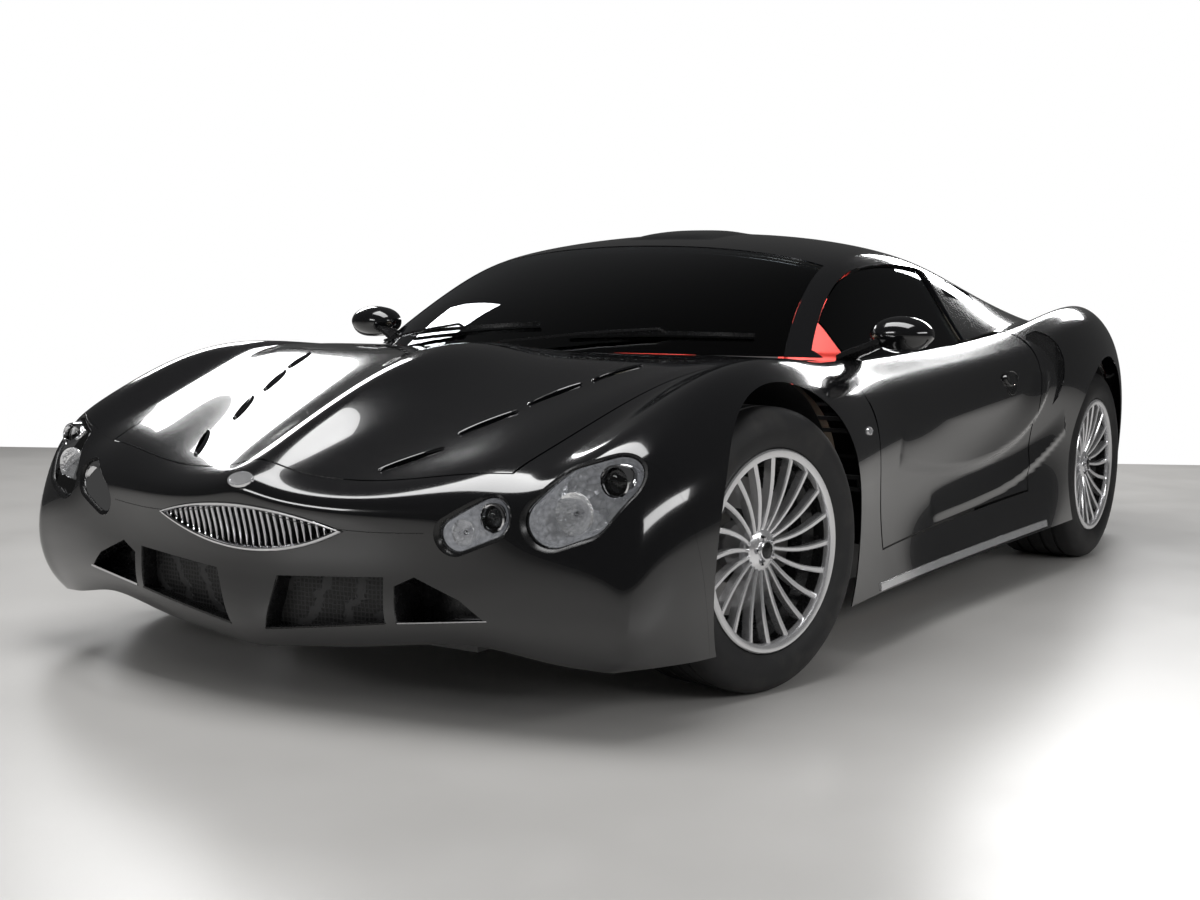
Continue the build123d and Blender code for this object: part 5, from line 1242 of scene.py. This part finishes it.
mirrorX, mirrorY, mirrorZ = midX + 0.545, 0.925, 0.838


def mirrorOval(x, wide, tall):
    return [Vector((x, mirrorY + wide * math.cos(a), mirrorZ + tall * math.sin(a))) for a in circling(48)]


housing = loft([mirrorOval(mirrorX + ahead, wide, tall) for ahead, wide, tall in (
    (-0.030, 0.080, 0.043), (-0.029, 0.084, 0.047), (-0.010, 0.087, 0.0495), (0.010, 0.088, 0.050),
    (0.028, 0.081, 0.0455), (0.042, 0.070, 0.038), (0.053, 0.054, 0.0285), (0.060, 0.034, 0.0175),
    (0.0625, 0.012, 0.006))])
mirrorMesh(finished("mirror_left_shell", housing, paint, "door_left", "gloss_paint", 50, ("mirror_left",)))
face = prism([(mirrorY + 0.074 * math.cos(a), mirrorZ + 0.038 * math.sin(a)) for a in circling(48)],
             0, midX + 0.5135, midX + 0.5155)
mirrorMesh(finished("mirror_left_glass", face, chrome, "door_left", "bright_trim"))
lip = [Vector((mirrorX + 0.012 * math.sin(math.pi * t), mirrorY + 0.080 * (2 * t - 1),
               mirrorZ - 0.047 * math.sin(math.acos(0.97 * (2 * t - 1))) - 0.001))
       for t in [k / 24 for k in range(25)]]
lip = sweep(lip, [(-0.020, -0.001), (0.020, -0.001), (0.018, 0.003), (-0.018, 0.003)])
mirrorMesh(finished("mirror_left_blade", lip, chrome, "door_left", "bright_trim"))
octagon = ((-1, -0.4), (-0.4, -1), (0.5, -1), (1, -0.3), (1, 0.5), (0.3, 1), (-0.5, 1), (-1, 0.4))
stalk = loft([[Vector(c) + Vector((a * half, 0, b * tall)) for a, b in octagon] for c, half, tall in (
    ((midX + 0.560, 0.880, 0.822), 0.034, 0.016), ((midX + 0.568, 0.840, 0.800), 0.040, 0.015),
    ((midX + 0.575, 0.800, 0.784), 0.052, 0.016), ((midX + 0.580, 0.775, 0.770), 0.060, 0.018))])
mirrorMesh(finished("mirror_left_stalk", stalk, satin, "door_left", "black_plastic", 50))

tailFinder = Finder(body, 0, (tail, 23.8), (0, 9.5))


def onTail(outline, depth):
    found = [tailFinder.meet(abs(y), z) for y, z in outline]
    return [Vector((float(body.at(u, v)[0]) + depth, y, z)) for (u, v), (y, z) in zip(found, outline)]


valanceCuts = [prism([(-3, 0.395), (0, 0.395), (0, 1.2), (-3, 1.2)], 1, -1.2, 1.2)]
for _, side in sides:
    valanceCuts += [prism([(side * 0.60, 0.0), (side * 1.3, 0.0), (side * 1.3, 0.6), (side * 0.47, 0.6)], 0,
                          -3.0, 0),
                    drum(0, (side * exhaust[0], exhaust[1]), exhaust[2] + 0.001, -2.6, -1.6, 64)]
panel("rear_valance", body, (20.8, 23.98), (-9.4, 9.4), (-0.0022, -0.0004), cutters=valanceCuts, material=satin)


def tailRing(y, z, radius, depth):
    return onTail([(y + radius * math.cos(t), z + radius * math.sin(t)) for t in circling(64)], depth)


for word, side in sides:
    for k, (y, z, radius) in enumerate(tailLamps):
        red = loft([tailRing(side * y, z, radius * share, depth) for share, depth in (
            (0.10, -0.0015), (0.34, -0.0005), (0.38, 0.003), (0.46, 0.003), (0.50, -0.0005), (0.82, 0.0005),
            (0.885, 0.003), (0.885, 0.020))])
        finished(f"tail_lamp_{k}_{word}", red, redLens, "body", "red_lens", hides=("tail_lamps",))
        trim = [tailRing(side * y, z, radius * share, depth) for share, depth in (
            (0.90, 0.018), (0.90, -0.001), (0.94, -0.0045), (0.985, -0.0035), (0.993, 0.001), (0.993, 0.018))]
        finished(f"tail_ring_{k}_{word}", loft(trim + trim[:1], ends=False), chrome, "body", "bright_trim")
    y, z, radius = exhaust
    tube = [(radius - 0.004, 0.0), (radius - 0.001, 0.002), (radius, -0.002), (radius, -0.190),
            (radius - 0.004, -0.190)]
    tube = spinAt(tube, Vector((rearX - 1.038, side * y, z)), 64, Vector((-1, 0, 0)))
    finished(f"exhaust_{word}", tube, pipe, "body", "pipe_steel", hides=("exhausts",))


def overScreen(u, v, lift):
    return Vector(house.at(u, v) + house.outward(u, v) * lift)


def wiperPiece(k, vPost, inner, outer, tip):
    out = bmesh.new()
    hub = overScreen(0.02, vPost, 0.020)
    arm = [hub] + [overScreen(tip[0] * t, vPost + (tip[1] - vPost) * t, 0.020) for t in (0.25, 0.5, 0.75, 1)]
    line = [overScreen(*between(inner, outer, i / 12), 0.0075) for i in range(13)]
    join(out, sweep(arm, [(-0.006, -0.003), (0.006, -0.003), (0.005, 0.003), (-0.005, 0.003)]))
    join(out, sweep(line, [(-0.004, 0.004), (-0.002, -0.006), (0.002, -0.006), (0.004, 0.004)]))
    join(out, sweep([arm[-1], line[6]], [(-0.004, -0.003), (0.004, -0.003), (0.004, 0.003), (-0.004, 0.003)]))
    finished(f"wiper_{k}", out, satin, "body", "black_plastic", hides=("wipers",))


wiperPiece(0, 0.15, (0.3, 0.55), (0.62, 1.75), (0.45, 1.1))
wiperPiece(1, -1.3, (0.24, -1.0), (0.5, 0.25), (0.36, -0.4))

print("cabin")
seatX, seatBase = midX + 0.06, 0.245


def stuffed(bm, cap, floorZ, seams, up):
    # a pad: an even mesh blown up by cloth pressure as far as the cap, subdivided, then its seams pulled in
    form = bpy.data.meshes.new("form")
    bm.to_mesh(form)
    bm.free()
    holder = placed("form", form)
    even = holder.modifiers.new("even", "REMESH")
    even.mode, even.voxel_size = "VOXEL", 0.010
    mesh = asMesh(holder)
    holder.modifiers.clear()
    holder.data = mesh
    start = readAll(mesh.vertices, "co")
    swell = holder.modifiers.new("swell", "CLOTH")
    swell.settings.use_pressure, swell.settings.uniform_pressure_force = True, 4
    swell.settings.effector_weights.gravity = 0
    for step in range(1, 21):
        bpy.context.scene.frame_set(step)
    move = readAll(asMesh(holder).vertices, "co") - start
    holder.modifiers.clear()
    bpy.context.scene.frame_set(1)
    far = np.linalg.norm(move, axis=1, keepdims=True)
    mesh.vertices.foreach_set("co", (start + move * np.minimum(1, cap / np.maximum(far, 1e-9))).ravel())
    mesh.update()
    holder.modifiers.new("finer", "SUBSURF").levels = 1
    mesh = asMesh(holder)
    bpy.data.objects.remove(holder)
    co = readAll(mesh.vertices, "co")
    normals = np.array([v.normal[:] for v in mesh.vertices])
    groove, wide, deep = np.zeros(len(co)), 0.007, 0.008
    for axis, at, half in seams:
        # a seam along the middle plane is on both sides of it, and the others stop short of the bolsters
        offset = np.abs(co[:, axis]) if axis == 1 else co[:, axis]
        reach = True if axis == 1 else np.abs(co[:, 1]) < half
        groove = np.maximum(groove, np.exp(-(offset - at) ** 2 / wide ** 2) * reach)
    co -= normals * (groove * np.clip(normals[:, up] * 2, 0, 1) * deep)[:, None]
    co[:, 2] = np.maximum(co[:, 2], floorZ)
    mesh.vertices.foreach_set("co", co.ravel())
    mesh.update()
    return mesh


seatForms = {
    "cushion": {"outline": [(-0.222, 0.018), (0.245, 0.018), (0.278, 0.060), (0.252, 0.118), (0.10, 0.104),
                            (-0.180, 0.082)],
                "half": 0.198, "bolster": [(-0.200, 0.050), (0.235, 0.060), (0.205, 0.140), (-0.170, 0.118)],
                "seams": [(1, 0.122, 1)] + [(0, x, 0.122) for x in (-0.100, -0.020, 0.060, 0.140)], "up": 2},
    "back": {"outline": [(-0.238, 0.040), (-0.148, 0.100), (-0.218, 0.330), (-0.296, 0.560), (-0.326, 0.690),
                         (-0.352, 0.712), (-0.378, 0.702), (-0.384, 0.560), (-0.330, 0.330)],
             "half": 0.178, "bolster": [(-0.250, 0.120), (-0.142, 0.130), (-0.186, 0.330), (-0.262, 0.520),
                                        (-0.340, 0.520)],
             "seams": [(1, 0.112, 1)] + [(2, z, 0.112) for z in (0.180, 0.260, 0.340, 0.420, 0.500)], "up": 0},
}
for label, form in seatForms.items():
    pad = prism(form["outline"], 1, -form["half"], form["half"])
    for _, side in sides:
        low, high = sorted((side * form["half"] * 0.68, side * form["half"]))
        join(pad, prism(form["bolster"], 1, low, high))
    mesh = stuffed(pad, 0.020, 0.003, form["seams"], form["up"])
    for word, side in sides:
        own = mesh.copy()
        own.transform(Matrix.Translation((seatX, side * 0.345, seatBase)))
        finishMesh(f"seat_{label}_{word}", own, redLeather, "body", "seat_leather", 80, ("seats",))

dashX = frontX - 0.5203
profile = [(-0.230, 0.590), (-0.250, 0.690), (-0.190, 0.748), (-0.060, 0.766), (0.190, 0.752), (0.190, 0.7003),
           (0, 0.7003), (0, 0.560), (-0.120, 0.560)]
board = prism([(dashX + x, z) for x, z in profile], 1, -0.585, 0.585)
bmesh.ops.bevel(board, geom=[e for e in board.edges if abs(e.verts[0].co.y - e.verts[1].co.y) > 0.5],
                offset=0.012, segments=3, profile=0.5, affect="EDGES", material=-1)
finished("dash_board", board, beigeLeather, "body", "dash_trim", 40, ("dashboard",))
console = prism([(dashX - 0.2, 0.3803), (dashX - 0.17, 0.6), (dashX - 0.06, 0.6), (dashX - 0.06, 0.3803)], 1,
                -0.095, 0.095)
finished("dash_console", console, darkLeather, "body", "dash_trim", 40)

for word, side in sides:
    kick = prism([(dashX - 0.42, 0.170), (dashX + 0.07, 0.170), (dashX + 0.07, 0.700), (dashX - 0.20, 0.700),
                  (dashX - 0.42, 0.56)], 1, *sorted((side * 0.700, side * 0.704)))
    finished(f"kick_panel_{word}", kick, darkLeather, "body", "dash_trim")

wheelPlace = (Matrix.Translation((midX + 0.430, -0.345, 0.690))
              @ Matrix.Rotation(math.radians(-90 + 24), 4, "Y") @ Matrix.Rotation(math.pi / 2, 4, "Z"))
steering = sweep([Vector((0.175 * math.cos(a), 0.175 * math.sin(a), 0)) for a in circling(48)],
                 roundSection(0.0145), closed=True)
bmesh.ops.transform(steering, matrix=wheelPlace, verts=steering.verts[:])
finished("steering_rim", steering, darkLeather, "body", "wheel_trim", 60, ("steering_wheel",))
spokes = bmesh.new()
for angle in (0, 180, 270):
    bm = bmesh.new()
    bmesh.ops.create_cube(bm, size=1, matrix=Matrix.Rotation(math.radians(angle), 4, "Z")
                          @ Matrix.Translation((0.1, 0, 0)) @ Matrix.Diagonal((0.150, 0.024, 0.008, 1)))
    join(spokes, bm)
boss = bmesh.new()
bmesh.ops.create_cone(boss, cap_ends=True, segments=40, radius1=0.044, radius2=0.048, depth=0.032)
join(spokes, boss)
bmesh.ops.transform(spokes, matrix=wheelPlace, verts=spokes.verts[:])
finished("steering_spokes", spokes, satin, "body", "wheel_trim", 40)

for name, material, slot in (
        ("chassis", underside, "structure"), ("engine", underside, "engine_block"),
        ("wheel_liners", plastic, "black_plastic"), ("front_arms", iron, "structure"),
        ("rear_suspension", iron, "structure"), ("knuckle_left", iron, "knuckle_iron"),
        ("knuckle_right", iron, "knuckle_iron")):
    node = frame["nodes"][name]
    node.data.materials.clear()
    node.data.materials.append(material)

print("stage and light")
yaw, pitchDown, roll = math.radians(212.12), math.radians(5.20), math.radians(0.88)
cameraPlace = Vector((4.8886, 2.6203, 0.9178))


def stageFloor():
    # pale floor that ends where the white background starts behind the car
    finish = mottled("studioFloor", (0.50, 0.49, 0.475), (0.56, 0.55, 0.535), tint=(3, 5),
                     rough=(3, 5, 0.1, 0.28), relief=(40, 4, 0.0003, 0.3))
    bm = bmesh.new()
    half, wallAt = 14, 9.7
    bmesh.ops.create_grid(bm, x_segments=1, y_segments=1, size=half)
    turn = Matrix.Rotation(yaw, 4, "Z")
    middle = Vector((cameraPlace.x, cameraPlace.y, 0)) + turn @ Vector((wallAt - half, 0, 0))
    bmesh.ops.transform(bm, matrix=Matrix.Translation(middle) @ turn, verts=bm.verts[:])
    mesh = bpy.data.meshes.new("floor")
    bm.to_mesh(mesh)
    bm.free()
    mesh.materials.append(finish)
    placed("floor", mesh)


stageFloor()


def light(name, place, target, size, power):
    lamp = bpy.data.lights.new(name, "AREA")
    lamp.shape, lamp.size, lamp.size_y, lamp.energy = "RECTANGLE", size[0], size[1], power
    holder = placed(name, lamp)
    holder.location = place
    holder.rotation_euler = (Vector(target) - Vector(place)).to_track_quat("-Z", "Y").to_euler()
    return holder


light("overhead", (1.6, -0.2, 4.8), (0.6, 0, 0), (4.2, 2.4), 190)
light("bandLeft", (1.2, 5.6, 2.6), (0.4, 0.6, 0.4), (5.0, 0.7), 75)
light("bandNose", (6.6, -2.4, 2.2), (1.6, 0, 0.5), (2.0, 0.8), 40)
light("bandTail", (-5.4, 0.1, 2.75), (-1.4, 0.3, 0.7), (2.2, 0.9), 100)
light("bandRight", (-1.8, -4.6, 3.2), (0.9, -0.3, 0.7), (2.0, 1.4), 80)

cabinLight = light("cabin", (seatX + 0.10, 0, 1.04), (seatX + 0.10, 0, 0), (0.9, 0.8), 30)
cabinLight.visible_camera = cabinLight.visible_glossy = False

world = bpy.data.worlds.new("studio")
bpy.context.scene.world = world
world.use_nodes = True
tree = world.node_tree
tree.nodes.clear()
ends, path, glow = [tree.nodes.new(f"ShaderNode{kind}") for kind in ("OutputWorld", "LightPath", "Background")]
strength, fill = None, 0.30
# the camera sees white, mirrors see a dark room, and the rest is soft fill
for output, seen in (("Is Camera Ray", 1.0), ("Is Glossy Ray", 0.05)):
    share = tree.nodes.new("ShaderNodeMix")
    share.data_type = "FLOAT"
    share.inputs[3].default_value = seen
    tree.links.new(path.outputs[output], share.inputs[0])
    if strength:
        tree.links.new(strength, share.inputs[2])
    else:
        share.inputs[2].default_value = fill
    strength = share.outputs[0]
tree.links.new(strength, glow.inputs["Strength"])
tree.links.new(glow.outputs[0], ends.inputs["Surface"])
glow.inputs["Color"].default_value = (1, 1, 1, 1)

ahead = Vector((math.cos(yaw) * math.cos(pitchDown), math.sin(yaw) * math.cos(pitchDown), -math.sin(pitchDown)))
right = Vector((math.sin(yaw), -math.cos(yaw), 0))
rise = right.cross(ahead)
right, rise = right * math.cos(roll) + rise * math.sin(roll), -right * math.sin(roll) + rise * math.cos(roll)
camera = placed("camera", bpy.data.cameras.new("camera"))
camera.data.lens, camera.data.sensor_width = 49.305, 36
camera.data.clip_start = 0.05
camera.matrix_world = Matrix.Translation(cameraPlace) @ Matrix(
    [[right[i], rise[i], -ahead[i]] for i in range(3)]).to_4x4()
bpy.context.scene.camera = camera
bpy.context.scene.view_settings.view_transform = "Standard"
